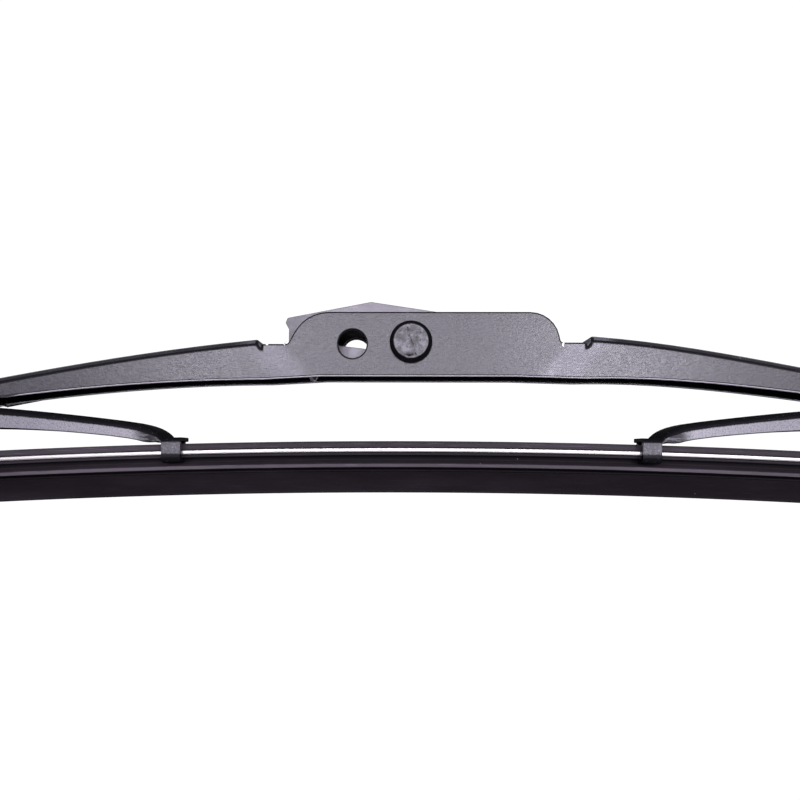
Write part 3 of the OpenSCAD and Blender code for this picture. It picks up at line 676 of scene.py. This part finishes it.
def yoke_paint():
    """The yokes' coarser speckled paint, rough on claws, with a painted grey reflection on the walls and
    painted shade on shoulders and bends.
    """
    look = bpy.context.scene.wiper_finish
    f = Finish("speckled_yoke_paint")
    speckle = f.grain(0.28 * MM, detail=3, rough=0.65)
    coarse = f.grain(0.55 * MM, detail=4, rough=0.7, shift=0.2)
    swell = f.grain(2.2 * MM, stretch=(3, 1, 1), detail=2)
    streak = f.step(f.grain(0.7 * MM, stretch=(6, 1, 1), detail=3, shift=0.6), 0.5, 0.62)
    pits = f.step(f.cells(0.9 * MM, 0.1), 0.16, 0.08)
    x, _, z = f.axes()
    past_claw = (abs(x - RIVET.x) - INNER_CLAW) / MM
    on_claw = f.step(abs(past_claw), 2.7, 2.3)
    beside_claw = f.step(past_claw, 10.5, 6.5) * (1 - on_claw)
    top_bend = f.step(z, CLAW_TOP_BEND - 0.2 * MM, CLAW_TOP_BEND + 0.2 * MM)
    foot_bend = f.step(z, CLAW_FOOT_BEND + 0.25 * MM, CLAW_FOOT_BEND - 0.25 * MM)
    bend = on_claw * foot_bend.above(top_bend)
    below = f.surveyed("below_top") + (speckle - 0.5) * 0.5 * MM
    # Painted light: walls take the grey yoke colour as a painted reflection of the front lights, a darker
    # grey on the claws; tops, undersides, shoulders, the claws' bends and the flanks beside the claws fall to
    # a black darker than the paint, as painted shade, with lighter streaks beside the claws. The same masks
    # set the gloss.
    shoulder = f.step(below, 1.85 * MM, 1.55 * MM) * (1 - on_claw)
    wall = f.step(abs(f.surveyed("looks_up") - 0.05), 0.42, 0.25) * (1 - shoulder)
    grey = (f.step(speckle, 0.3, 0.7) * 0.5 + 0.5) * (1 - bend) * (1 - beside_claw * (1 - streak * 0.6))
    grey = grey * (1 - on_claw * (0.75 - f.step(coarse, 0.45, 0.7) * 0.6))
    base = f.mixed(grey * wall, scaled(look.paint, 0.25), look.yoke)
    f.set("Base Color", f.mixed(pits * 0.5, base, scaled(look.yoke, 0.4)))
    f.set("Roughness", look.yoke_roughness + (speckle - 0.5) * 0.25 + (1 - wall) * 0.15)
    f.bump(speckle * 1.2e-5 + swell * 1.5e-5 + pits * -6e-6 + coarse * on_claw * 7e-5)
    f.glossless(1 - (0.06 + wall * (0.94 - (on_claw + beside_claw) * 0.45)) * (1 - bend * 0.8))
    return f.material


def rivet_paint():
    """Black paint on a peened head: scuffed through to dull steel."""
    look = bpy.context.scene.wiper_finish
    f = Finish("scuffed_rivet_paint", specular_ior_level=0.4)
    away = f.away(RIVET.x, RIVET.z)
    flat = f.step(away, RIVET_FACE_R, RIVET_FACE_R - 0.3 * MM)
    rim = f.step(away, RIVET_FACE_R - 0.45 * MM, RIVET_FACE_R - 0.25 * MM) * flat
    scuff = f.step(f.grain(1.9 * MM, detail=5, rough=0.65), 0.42, 0.62)
    black = f.step(f.grain(1.2 * MM, detail=5, rough=0.75, shift=0.5), 0.51, 0.58)
    worn = ((scuff * 0.9 + rim * 0.4) * (1 - black * 0.8)).below(1.0) * flat
    f.set("Base Color", f.mixed(worn, scaled(look.paint, 0.2), (0.15, 0.147, 0.162)))
    f.set("Roughness", 0.3 + scuff * 0.14)
    f.bump(f.grain(0.5 * MM, detail=4) * 2.2e-5 + worn * 6e-6)
    f.glossless(0.75 * (1 - flat))
    return f.material


def small_rivet_paint():
    """Black paint on the yokes' rivets."""
    look = bpy.context.scene.wiper_finish
    f = Finish("rivet_black_paint")
    scuff = f.step(f.grain(1.4 * MM, detail=4), 0.5, 0.7)
    f.set("Base Color", f.mixed(scuff, look.paint, scaled(look.paint, 2.5)))
    f.set("Roughness", 0.36 + scuff * 0.1)
    f.bump(f.grain(0.6 * MM, detail=3) * 8e-6)
    return f.material


def lever_plate():
    """Grey coated steel plate, with faint rolling marks along it, and painted shade that darkens it towards
    its finger end.
    """
    look = bpy.context.scene.wiper_finish
    f = Finish("lever_grey_coat", metallic=0.35)
    rolled = f.grain(0.3 * MM, stretch=(14, 1, 1), detail=3)
    cloud = f.grain(3.5 * MM, detail=3)
    x, _, _ = f.axes()
    coat = f.mixed(f.step(cloud, 0.35, 0.7), scaled(look.lever, 0.85), look.lever)
    # Painted shade: the coat darkens to half towards the finger end.
    f.set("Base Color", f.mixed(f.step(x, -6 * MM, -15 * MM), coat, scaled(look.lever, 0.5)))
    f.set("Roughness", 0.42 + (rolled - 0.5) * 0.2)
    f.bump(rolled * 3e-6)
    return f.material


def plate_edge():
    """The lever's sheared edges, darker than its faces."""
    f = Finish("lever_sheared_edge", metallic=0.4)
    drawn = f.grain(0.4 * MM, stretch=(1, 8, 1), detail=2)
    f.set("Base Color", f.mixed(drawn, (0.05, 0.048, 0.052), (0.12, 0.115, 0.12)))
    f.set("Roughness", 0.4 + drawn * 0.15)
    f.bump(drawn * 4e-6)
    return f.material


def bright_steel():
    """Bright rolled spring steel, with fine lines along the strip."""
    look = bpy.context.scene.wiper_finish
    f = Finish("bright_spring_steel", metallic=1.0)
    rolled = f.grain(0.12 * MM, stretch=(120, 1, 1), detail=2)
    stain = f.step(f.grain(5 * MM, stretch=(6, 1, 1), detail=4), 0.58, 0.75)
    f.set("Base Color", f.mixed(stain * 0.35, look.steel, scaled(look.steel, 0.6)))
    f.set("Roughness", 0.38 + rolled * 0.14 + stain * 0.1)
    f.bump(rolled * 4e-7)
    return f.material


def plain_steel():
    """Turned steel of the bush."""
    f = Finish("turned_bush_steel", metallic=1.0)
    turned = f.grain(0.2 * MM, stretch=(1, 0.4, 1), detail=2)
    f.set("Base Color", f.mixed(turned, (0.5, 0.5, 0.52), (0.62, 0.62, 0.64)))
    f.set("Roughness", 0.34 + turned * 0.1)
    f.bump(turned * 2e-6)
    return f.material


def liner_nylon():
    """Black moulded nylon."""
    f = Finish("liner_black_nylon")
    cloud = f.grain(1.5 * MM, detail=3)
    f.set("Base Color", f.mixed(cloud, (0.02, 0.02, 0.022), (0.04, 0.04, 0.044)))
    f.set("Roughness", 0.5 + cloud * 0.1)
    f.bump(f.grain(0.3 * MM) * 5e-6)
    return f.material


def wiping_rubber():
    """Black extruded rubber: soft sheen, fine lines along it, dust specks, and painted highlights on its
    ribs, placed by depth.
    """
    look = bpy.context.scene.wiper_finish
    f = Finish("extruded_black_rubber", specular_ior_level=0.03)
    drawn = f.grain(0.16 * MM, stretch=(90, 1, 1), detail=2)
    bloom = f.step(f.grain(8 * MM, stretch=(5, 1, 1), detail=4), 0.4, 0.75)
    dust = f.step(f.cells(4.3 * MM, 0.7), 0.035, 0.02)
    # Painted highlights: lighter bands at set depths of the cross-section, brightest on the shoulder, with
    # lighter streaks in them.
    painted_rib_sheen = f.zones(
        f.depth() / MM, (-0.6, 0), (0.1, 0.5), (1.3, 0.46), (1.55, 0.03), (2.45, 0), (2.6, 0.3), (3.2, 0.2),
        (3.4, 0), (4.1, 0), (4.3, 0.1), (5.1, 0.15), (5.35, 1), (5.9, 1), (6.1, 0), (7, 0.05), (12, 0.08),
    )
    scratch = f.step(f.grain(0.18 * MM, stretch=(40, 1, 1), detail=1, shift=0.4), 0.6, 0.72)
    base = f.mixed(bloom, look.rubber, scaled(look.rubber, 1.7))
    grey = (painted_rib_sheen * (0.75 + bloom * 0.5) + painted_rib_sheen * scratch * 0.8).below(1.0)
    f.set("Base Color", f.mixed(dust * 0.5, f.mixed(grey, base, look.rib_sheen_colour), (0.2, 0.19, 0.2)))
    f.set("Roughness", 0.5 + bloom * 0.1 + (drawn - 0.5) * 0.1)
    f.bump(drawn * 2.5e-6 + bloom * 3e-6)
    return f.material


def cap_plastic():
    """Black moulded plastic with a fine spark texture."""
    f = Finish("cap_black_plastic")
    spark = f.grain(0.25 * MM, detail=3)
    f.set("Base Color", f.mixed(spark, (0.018, 0.018, 0.02), (0.03, 0.03, 0.033)))
    f.set("Roughness", 0.46 + spark * 0.12)
    f.bump(spark * 9e-6)
    return f.material


def bare_burr():
    """Bare sheared steel."""
    f = Finish("bare_burr_steel", metallic=0.9)
    torn = f.grain(0.15 * MM, detail=3)
    f.set("Base Color", f.mixed(torn, (0.6, 0.59, 0.6), (0.85, 0.84, 0.86)))
    f.set("Roughness", 0.3 + torn * 0.15)
    return f.material


FINISHES = {
    "satin_paint": satin_paint,
    "rubbed_edge_and_glint": rubbed_edge_and_glint,
    "yoke_paint": yoke_paint,
    "rivet_paint": rivet_paint,
    "small_rivet_paint": small_rivet_paint,
    "lever_plate": lever_plate,
    "plate_edge": plate_edge,
    "bright_steel": bright_steel,
    "plain_steel": plain_steel,
    "liner_nylon": liner_nylon,
    "wiping_rubber": wiping_rubber,
    "cap_plastic": cap_plastic,
    "bare_burr": bare_burr,
}


# Operators


class WIPER_OT_stage(bpy.types.Operator):
    """Sets the camera, the pale floor and the soft lights"""

    bl_idname = "wiper.stage"
    bl_label = "Studio"

    def execute(self, context):
        stage = context.scene.wiper_stage
        self.camera(context.scene, stage)
        self.room(context.scene, stage)
        self.floor()
        for x, share in FRONT_STRIPS:
            self.panel("front_strip", (x, STRIP_Y, STRIP_Z), STRIP_SIZE, share * stage.front_light, "back")
        for place in REAR_PANELS:
            self.panel("rear_panel", place, REAR_SIZE, stage.rear_light, "blade")
        self.panel("floor_glow", GLOW_PLACE, GLOW_SIZE, stage.floor_glow, "up")
        return {"FINISHED"}

    def camera(self, scene, stage):
        """The camera at the photograph's viewing angle."""
        data = bpy.data.cameras.new("camera")
        data.lens = stage.lens
        data.sensor_width = 36
        data.clip_start = 0.005
        data.clip_end = 20
        camera = bpy.data.objects.new("camera", data)
        camera.location = stage.camera_place
        camera.rotation_mode = "QUATERNION"
        turn = Matrix.Rotation(stage.camera_turn, 3, "Z")
        pitch = Matrix.Rotation(math.radians(90) + stage.camera_pitch, 3, "X")
        roll = Matrix.Rotation(stage.camera_roll, 3, "Z")
        camera.rotation_quaternion = (turn @ pitch @ roll).to_quaternion()
        scene.collection.objects.link(camera)
        scene.camera = camera

    def room(self, scene, stage):
        """A dim room that the camera sees as a white backdrop."""
        world = bpy.data.worlds.new("room")
        world.use_nodes = True
        scene.world = world
        tree = world.node_tree
        dim = tree.nodes["Background"]
        dim.inputs["Color"].default_value = (1, 0.99, 1, 1)
        dim.inputs["Strength"].default_value = stage.room
        self.seen_white(tree, "ShaderNodeBackground", dim, tree.nodes["World Output"])
        scene.view_settings.view_transform = "Standard"

    def floor(self):
        """A dim floor that the camera sees as white."""
        bpy.ops.object.select_all(action="DESELECT")
        bpy.ops.mesh.primitive_plane_add(size=12, location=(RIVET.x, RIVET.y, FLOOR))
        floor = added("floor")
        material = bpy.data.materials.new("pale_floor")
        material.use_nodes = True
        tree = material.node_tree
        dim = tree.nodes["Principled BSDF"]
        dim.inputs["Base Color"].default_value = (0.2, 0.19, 0.2, 1)
        dim.inputs["Roughness"].default_value = 0.9
        self.seen_white(tree, "ShaderNodeEmission", dim, tree.nodes["Material Output"])
        floor.data.materials.append(material)

    def seen_white(self, tree, kind, dim, out):
        """Lets the camera see plain white, while the blade sees the dim shader."""
        white = tree.nodes.new(kind)
        white.inputs["Color"].default_value = (1, 1, 1, 1)
        white.inputs["Strength"].default_value = 1.05
        seen = tree.nodes.new("ShaderNodeLightPath")
        both = tree.nodes.new("ShaderNodeMixShader")
        tree.links.new(seen.outputs["Is Camera Ray"], both.inputs["Fac"])
        tree.links.new(dim.outputs[0], both.inputs[1])
        tree.links.new(white.outputs[0], both.inputs[2])
        tree.links.new(both.outputs[0], out.inputs["Surface"])

    def panel(self, name, place, size, light, facing):
        """A soft light panel whose face has the given brightness, and which faces the blade, back or up."""
        scene = bpy.context.scene
        data = bpy.data.lights.new(name, "AREA")
        data.shape = "RECTANGLE"
        data.size, data.size_y = size
        data.color = scene.wiper_stage.tint
        data.energy = light * math.pi * size[0] * size[1]
        panel = bpy.data.objects.new(name, data)
        panel.location = place
        panel.rotation_mode = "QUATERNION"
        towards = {"blade": RIVET - Vector(place), "back": Vector((0, 1, 0)), "up": Vector((0, 0, 1))}[facing]
        panel.rotation_quaternion = towards.to_track_quat("-Z", "Y")
        panel.visible_camera = False
        scene.collection.objects.link(panel)


class WIPER_OT_bridge(bpy.types.Operator):
    """Rounds the bridge's sheared edges and paints it, with burrs at the notches beside the ears"""

    bl_idname = "wiper.bridge"
    bl_label = "Bridge"

    def execute(self, context):
        dressed(
            "main_bridge", "bridge_pressing", context.scene.wiper_detail.sheet_edge,
            [finish("satin_paint"), finish("rubbed_edge_and_glint")],
        )
        # Names, places on the front wall in millimetres and leans in degrees
        for name, x, z, lean in (
            ("notch_burr_left_outer", -19.6, 0.12, 12),
            ("notch_burr_left_inner", -15.4, 0.16, -8),
            ("notch_burr_right", 48.1, -0.1, 4),
        ):
            self.burr(name, x * MM, z * MM, lean)
        return {"FINISHED"}

    def burr(self, name, x, z, lean):
        """A sliver of torn steel on the front wall's edge."""
        bpy.ops.object.select_all(action="DESELECT")
        bpy.ops.mesh.primitive_cube_add(
            size=1, location=(x, 0.02 * MM, z), scale=(0.16 * MM, 0.3 * MM, 0.95 * MM)
        )
        burr = added(name)
        edit(burr)
        bpy.ops.mesh.select_all(action="SELECT")
        bpy.ops.mesh.subdivide(number_cuts=2)
        bpy.ops.transform.rotate(value=math.radians(lean), orient_axis="Y", center_override=burr.location)
        leave()
        for vertex in burr.data.vertices:
            vertex.co.x += 0.3 * noise.noise(vertex.co * 3)
            vertex.co.x *= 0.6 + 0.4 * (0.5 - abs(vertex.co.z))
        settle(burr)
        burr.data.materials.append(finish("bare_burr"))
        smooth(burr, 60)
        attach(burr, "frame")


class WIPER_OT_rivet(bpy.types.Operator):
    """Models the lever's rivet: two peened heads with a fold and a dent, and the shank between them"""

    bl_idname = "wiper.rivet"
    bl_label = "Lever rivet"

    def execute(self, context):
        front = self.head(context.scene.wiper_detail.seam_depth)
        rear = front.copy()
        rear.data = front.data.copy()
        rear.name = rear.data.name = "rivet_rear_head"
        context.scene.collection.objects.link(rear)
        edit(rear)
        bpy.ops.mesh.select_all(action="SELECT")
        bpy.ops.transform.rotate(value=math.radians(180), orient_axis="Z", center_override=tuple(RIVET))
        leave()
        for piece in (front, rear):
            mend_normals(piece)
        bpy.ops.object.select_all(action="DESELECT")
        bpy.ops.mesh.primitive_cylinder_add(
            vertices=64, radius=RIVET_R, depth=REAR_FACE + 0.1 * MM,
            location=RIVET, rotation=(math.radians(90), 0, 0),
        )
        shank = settle(added("rivet_shank"))
        bpy.ops.object.select_all(action="DESELECT")
        for piece in (front, rear, shank):
            piece.select_set(True)
        bpy.context.view_layer.objects.active = front
        bpy.ops.object.join()
        front.name = front.data.name = "lever_rivet"
        front.data.materials.append(finish("rivet_paint"))
        smooth(front, 32)
        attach(front, "frame")
        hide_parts("pivot_rivet")
        return {"FINISHED"}

    def head(self, seam_depth):
        """One head, on the front wall."""
        bpy.ops.object.select_all(action="DESELECT")
        bpy.ops.mesh.primitive_circle_add(
            vertices=128, radius=RIVET_HEAD_R, fill_type="NGON",
            location=(RIVET.x, FRONT_FACE - 0.02 * MM, RIVET.z), rotation=(math.radians(90), 0, 0),
        )
        head = settle(added("rivet_front_head"))
        edit(head)
        bpy.ops.mesh.select_all(action="SELECT")
        bpy.ops.mesh.extrude_region_move(TRANSFORM_OT_translate={"value": (0, -0.72 * MM, 0)})
        # Shoulder: steps inwards and outwards
        for inwards, outwards in ((0.66, 0.92), (0.08, 0.14), (0.12, 0.1), (0.14, 0.02)):
            bpy.ops.mesh.inset(thickness=inwards * MM, depth=outwards * MM)
        # Rings of the face, which the fold and the dent are pressed into
        for _ in range(25):
            bpy.ops.mesh.inset(thickness=0.15 * MM)
        bpy.ops.mesh.poke()
        leave()
        mend_normals(head)
        top = min(v.co.y for v in head.data.vertices)
        for vertex in head.data.vertices:
            if vertex.co.y < top + 0.2 * MM:
                vertex.co.y += self.hollow((vertex.co - RIVET) / MM) * seam_depth
        return head

    def hollow(self, at):
        """Depth of the peened face at a place in millimetres from the rivet's centre, in seam depths.

        It has a slanting fold with a raised lip, a dent near its lower rim and shallow hammer marks.
        """
        across = (at.x * 0.951 + at.z * 0.308) + 0.12 * math.sin(at.z * 1.9)
        seam = math.exp(-((across / 0.16) ** 2)) - 0.5 * math.exp(-(((across - 0.35) / 0.25) ** 2))
        dent = 2.2 * math.exp(-(((at.x + 0.6) / 1.1) ** 2) - ((at.z + 3.7) / 0.5) ** 2)
        dimples = 0.8 * noise.noise(Vector((at.x, 0, at.z)) * 0.9)
        dimples += 0.45 * noise.noise(Vector((at.x, 5, at.z)) * 2.6)
        rim = max(0.0, 1 - max(0.0, math.hypot(at.x, at.z) - 3.3) / 0.7)
        return (seam + dimples) * rim + dent


class WIPER_OT_lever(bpy.types.Operator):
    """Rounds the lock lever's edges and gives it its grey coat"""

    bl_idname = "wiper.lever"
    bl_label = "Lock lever"

    def execute(self, context):
        dressed(
            "lock_lever", "lock_lever_plate", context.scene.wiper_detail.lever_edge,
            [finish("lever_plate"), finish("plate_edge")],
        )
        return {"FINISHED"}


class WIPER_OT_spring(bpy.types.Operator):
    """Winds the lever's spring from its hole in the rear wall to its hook under the lever"""

    bl_idname = "wiper.spring"
    bl_label = "Lever spring"

    # In millimetres from the rivet's centre
    WIRE_R = 0.35
    BUSH_R = 2.9
    TURNS = 5
    COIL_R = BUSH_R + WIRE_R + 0.15
    FRONT = 1.15
    REAR_WALL = 5.4
    REAR = REAR_WALL - WIRE_R - 0.1
    ANCHOR_X = 16
    HOOK_X = -23.2
    LEVER_LOW = -6.3

    def execute(self, context):
        path = self.anchor_end() + self.coil() + self.hook()
        spring = tube("lever_return_spring", [RIVET + Vector(p) * MM for p in path], self.WIRE_R * MM)
        spring.data.materials.append(finish("bright_steel"))
        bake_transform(spring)
        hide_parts("lever_spring")
        return {"FINISHED"}

    def anchor_end(self):
        """From the hole in the rear wall to the start of the coil."""
        x, rear, low = self.ANCHOR_X, self.REAR, -self.BUSH_R - 4.9 * self.WIRE_R
        return [
            (x, self.REAR_WALL + 1.7, low), (x, self.REAR_WALL + 0.2, low), (x - 0.15, rear + 0.35, low),
            (x - 0.5, rear + 0.05, low), (x - 1, rear, low), (x / 2, rear, (low - self.COIL_R) / 2),
        ]

    def coil(self):
        """The turns on the bush, from the rear to the front."""
        steps = 32 * self.TURNS
        path = []
        for k in range(steps + 1):
            turn = math.radians(-90 - 360 * self.TURNS * k / steps)
            along = self.REAR + (self.FRONT - self.REAR) * k / steps
            path.append((self.COIL_R * math.cos(turn), along, self.COIL_R * math.sin(turn)))
        return path

    def hook(self):
        """From the coil along the lever, under it and up behind it."""
        x, low, front = self.HOOK_X, self.LEVER_LOW, self.FRONT
        loop = low - 1.35 - self.WIRE_R
        return [
            (x / 2, front, -3.65 - 4 * self.WIRE_R), (x + 1.6, front, low + 0.4), (x + 0.8, front, low - 0.4),
            (x + 0.35, front, loop + 0.5), (x + 0.25, front - 0.3, loop + 0.1), (x + 0.2, front - 0.6, loop),
            (x, 0, loop), (x - 0.2, 0.6 - front, loop), (x - 0.25, 0.3 - front, loop + 0.1),
            (x - 0.3, -front, loop + 0.5), (x - 0.35, -front, low + 0.6), (x - 0.4, -front, low + 1.6),
        ]


class WIPER_OT_yokes(bpy.types.Operator):
    """Rounds the edges of the yokes and end yokes and gives them their speckled paint"""

    bl_idname = "wiper.yokes"
    bl_label = "Yokes"

    def execute(self, context):
        edge = context.scene.wiper_detail.sheet_edge / 2
        for kind in ("yoke", "end_yoke"):
            for side in ("left", "right"):
                node = f"{kind}_{side}"
                dressed(node, node + "_pressing", edge, [finish("yoke_paint")], segments=2)
        return {"FINISHED"}


class WIPER_OT_pivots(bpy.types.Operator):
    """Finishes the yokes' rivets, their nylon liners and the lever's bush"""

    bl_idname = "wiper.pivots"
    bl_label = "Pivots"

    def execute(self, context):
        for side in ("left", "right"):
            for kind in ("yoke_rivet", "end_rivet"):
                self.coat(f"{kind}_{side}", "small_rivet_paint")
            for kind in ("yoke_liner", "end_liner"):
                self.coat(f"{kind}_{side}", "liner_nylon")
        self.coat("pivot_bush", "plain_steel")
        return {"FINISHED"}

    def coat(self, node, name):
        """Gives a CAD node this finish alone."""
        data = frame["nodes"][node].data
        data.materials.clear()
        data.materials.append(finish(name))


def along_blade(name, outline, edge, half, coat, node):
    """Four lengths of one bar, which meet in the middle and in the inner claws."""
    inner_bend = (6 * MM, INNER_CLAW - CLAW_HALF)
    outer_bend = (INNER_CLAW + 2 * CLAW_HALF, NEAR_CLAW - CLAW_HALF)
    for side, sign in (("left", -1), ("right", 1)):
        yoke, end_yoke = f"{side}_yoke", f"{side}_end_yoke"
        for part, start, end, bodies, bend in (
            ("inner", 0, INNER_CLAW, ("frame", yoke), inner_bend),
            ("outer", INNER_CLAW, half, (yoke, end_yoke), outer_bend),
        ):
            piece = swept(f"{name}_{side}_{part}", outline, edge, sign * start, sign * end)
            piece.data.materials.append(coat)
            RIVET.x + sign * bend[0]
            RIVET.x + sign * bend[1]
            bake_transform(piece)
            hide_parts(node)


class WIPER_OT_rubber(bpy.types.Operator):
    """Sweeps the wiping element along the blade's curve"""

    bl_idname = "wiper.rubber"
    bl_label = "Rubber element"

    def execute(self, context):
        outline = RUBBER_SIDE + [(-y, z) for y, z in reversed(RUBBER_SIDE)]
        along_blade(
            "rubber", outline, context.scene.wiper_detail.rubber_edge, RUBBER_HALF,
            finish("wiping_rubber"), "wiper_rubber",
        )
        return {"FINISHED"}


class WIPER_OT_flexors(bpy.types.Operator):
    """Rolls the two spring strips that lie in the rubber's sides"""

    bl_idname = "wiper.flexors"
    bl_label = "Flexor strips"

    def execute(self, context):
        edge = context.scene.wiper_detail.rubber_edge
        for name, sign in (("flexor_front", -1), ("flexor_rear", 1)):
            outline = [(sign * y, z) for y, z in FLEXOR_SIDE]
            along_blade(
                name + "_strip", outline, edge, FLEXOR_HALF, finish("bright_steel"), name
            )
        return {"FINISHED"}


class WIPER_OT_caps(bpy.types.Operator):
    """Rounds and finishes the end caps"""

    bl_idname = "wiper.caps"
    bl_label = "End caps"

    def execute(self, context):
        edge = context.scene.wiper_detail.rubber_edge
        for side in ("left", "right"):
            node = f"end_cap_{side}"
            dressed(node, node + "_moulding", edge, [finish("cap_plastic")])
        return {"FINISHED"}


class WIPER_PT_panel(bpy.types.Panel):
    """Lists the steps that dress the wiper blade"""

    bl_idname = "WIPER_PT_panel"
    bl_label = "Wiper Blade"
    bl_space_type = "VIEW_3D"
    bl_region_type = "UI"
    bl_category = "Wiper"

    def draw(self, context):
        scene = context.scene
        for group in (scene.wiper_stage, scene.wiper_finish, scene.wiper_detail):
            box = self.layout.box()
            for key in group.__annotations__:
                box.prop(group, key)
        for operator in OPERATORS:
            self.layout.operator(operator.bl_idname)


GROUPS = {"wiper_stage": WiperStage, "wiper_finish": WiperFinish, "wiper_detail": WiperDetail}
OPERATORS = (
    WIPER_OT_stage,
    WIPER_OT_bridge,
    WIPER_OT_rivet,
    WIPER_OT_lever,
    WIPER_OT_spring,
    WIPER_OT_yokes,
    WIPER_OT_pivots,
    WIPER_OT_rubber,
    WIPER_OT_flexors,
    WIPER_OT_caps,
)


def register():
    for key, group in GROUPS.items():
        bpy.utils.register_class(group)
        setattr(bpy.types.Scene, key, PointerProperty(type=group))
    for item in (*OPERATORS, WIPER_PT_panel):
        bpy.utils.register_class(item)


def unregister():
    for item in reversed((*OPERATORS, WIPER_PT_panel)):
        bpy.utils.unregister_class(item)
    for key, group in reversed(GROUPS.items()):
        delattr(bpy.types.Scene, key)
        bpy.utils.unregister_class(group)


def main():
    register()
    bpy.ops.wiper.stage()
    bpy.ops.wiper.bridge()
    bpy.ops.wiper.rivet()
    bpy.ops.wiper.lever()
    bpy.ops.wiper.spring()
    bpy.ops.wiper.yokes()
    bpy.ops.wiper.pivots()
    bpy.ops.wiper.rubber()
    bpy.ops.wiper.flexors()
    bpy.ops.wiper.caps()


if __name__ == "__main__":
    main()
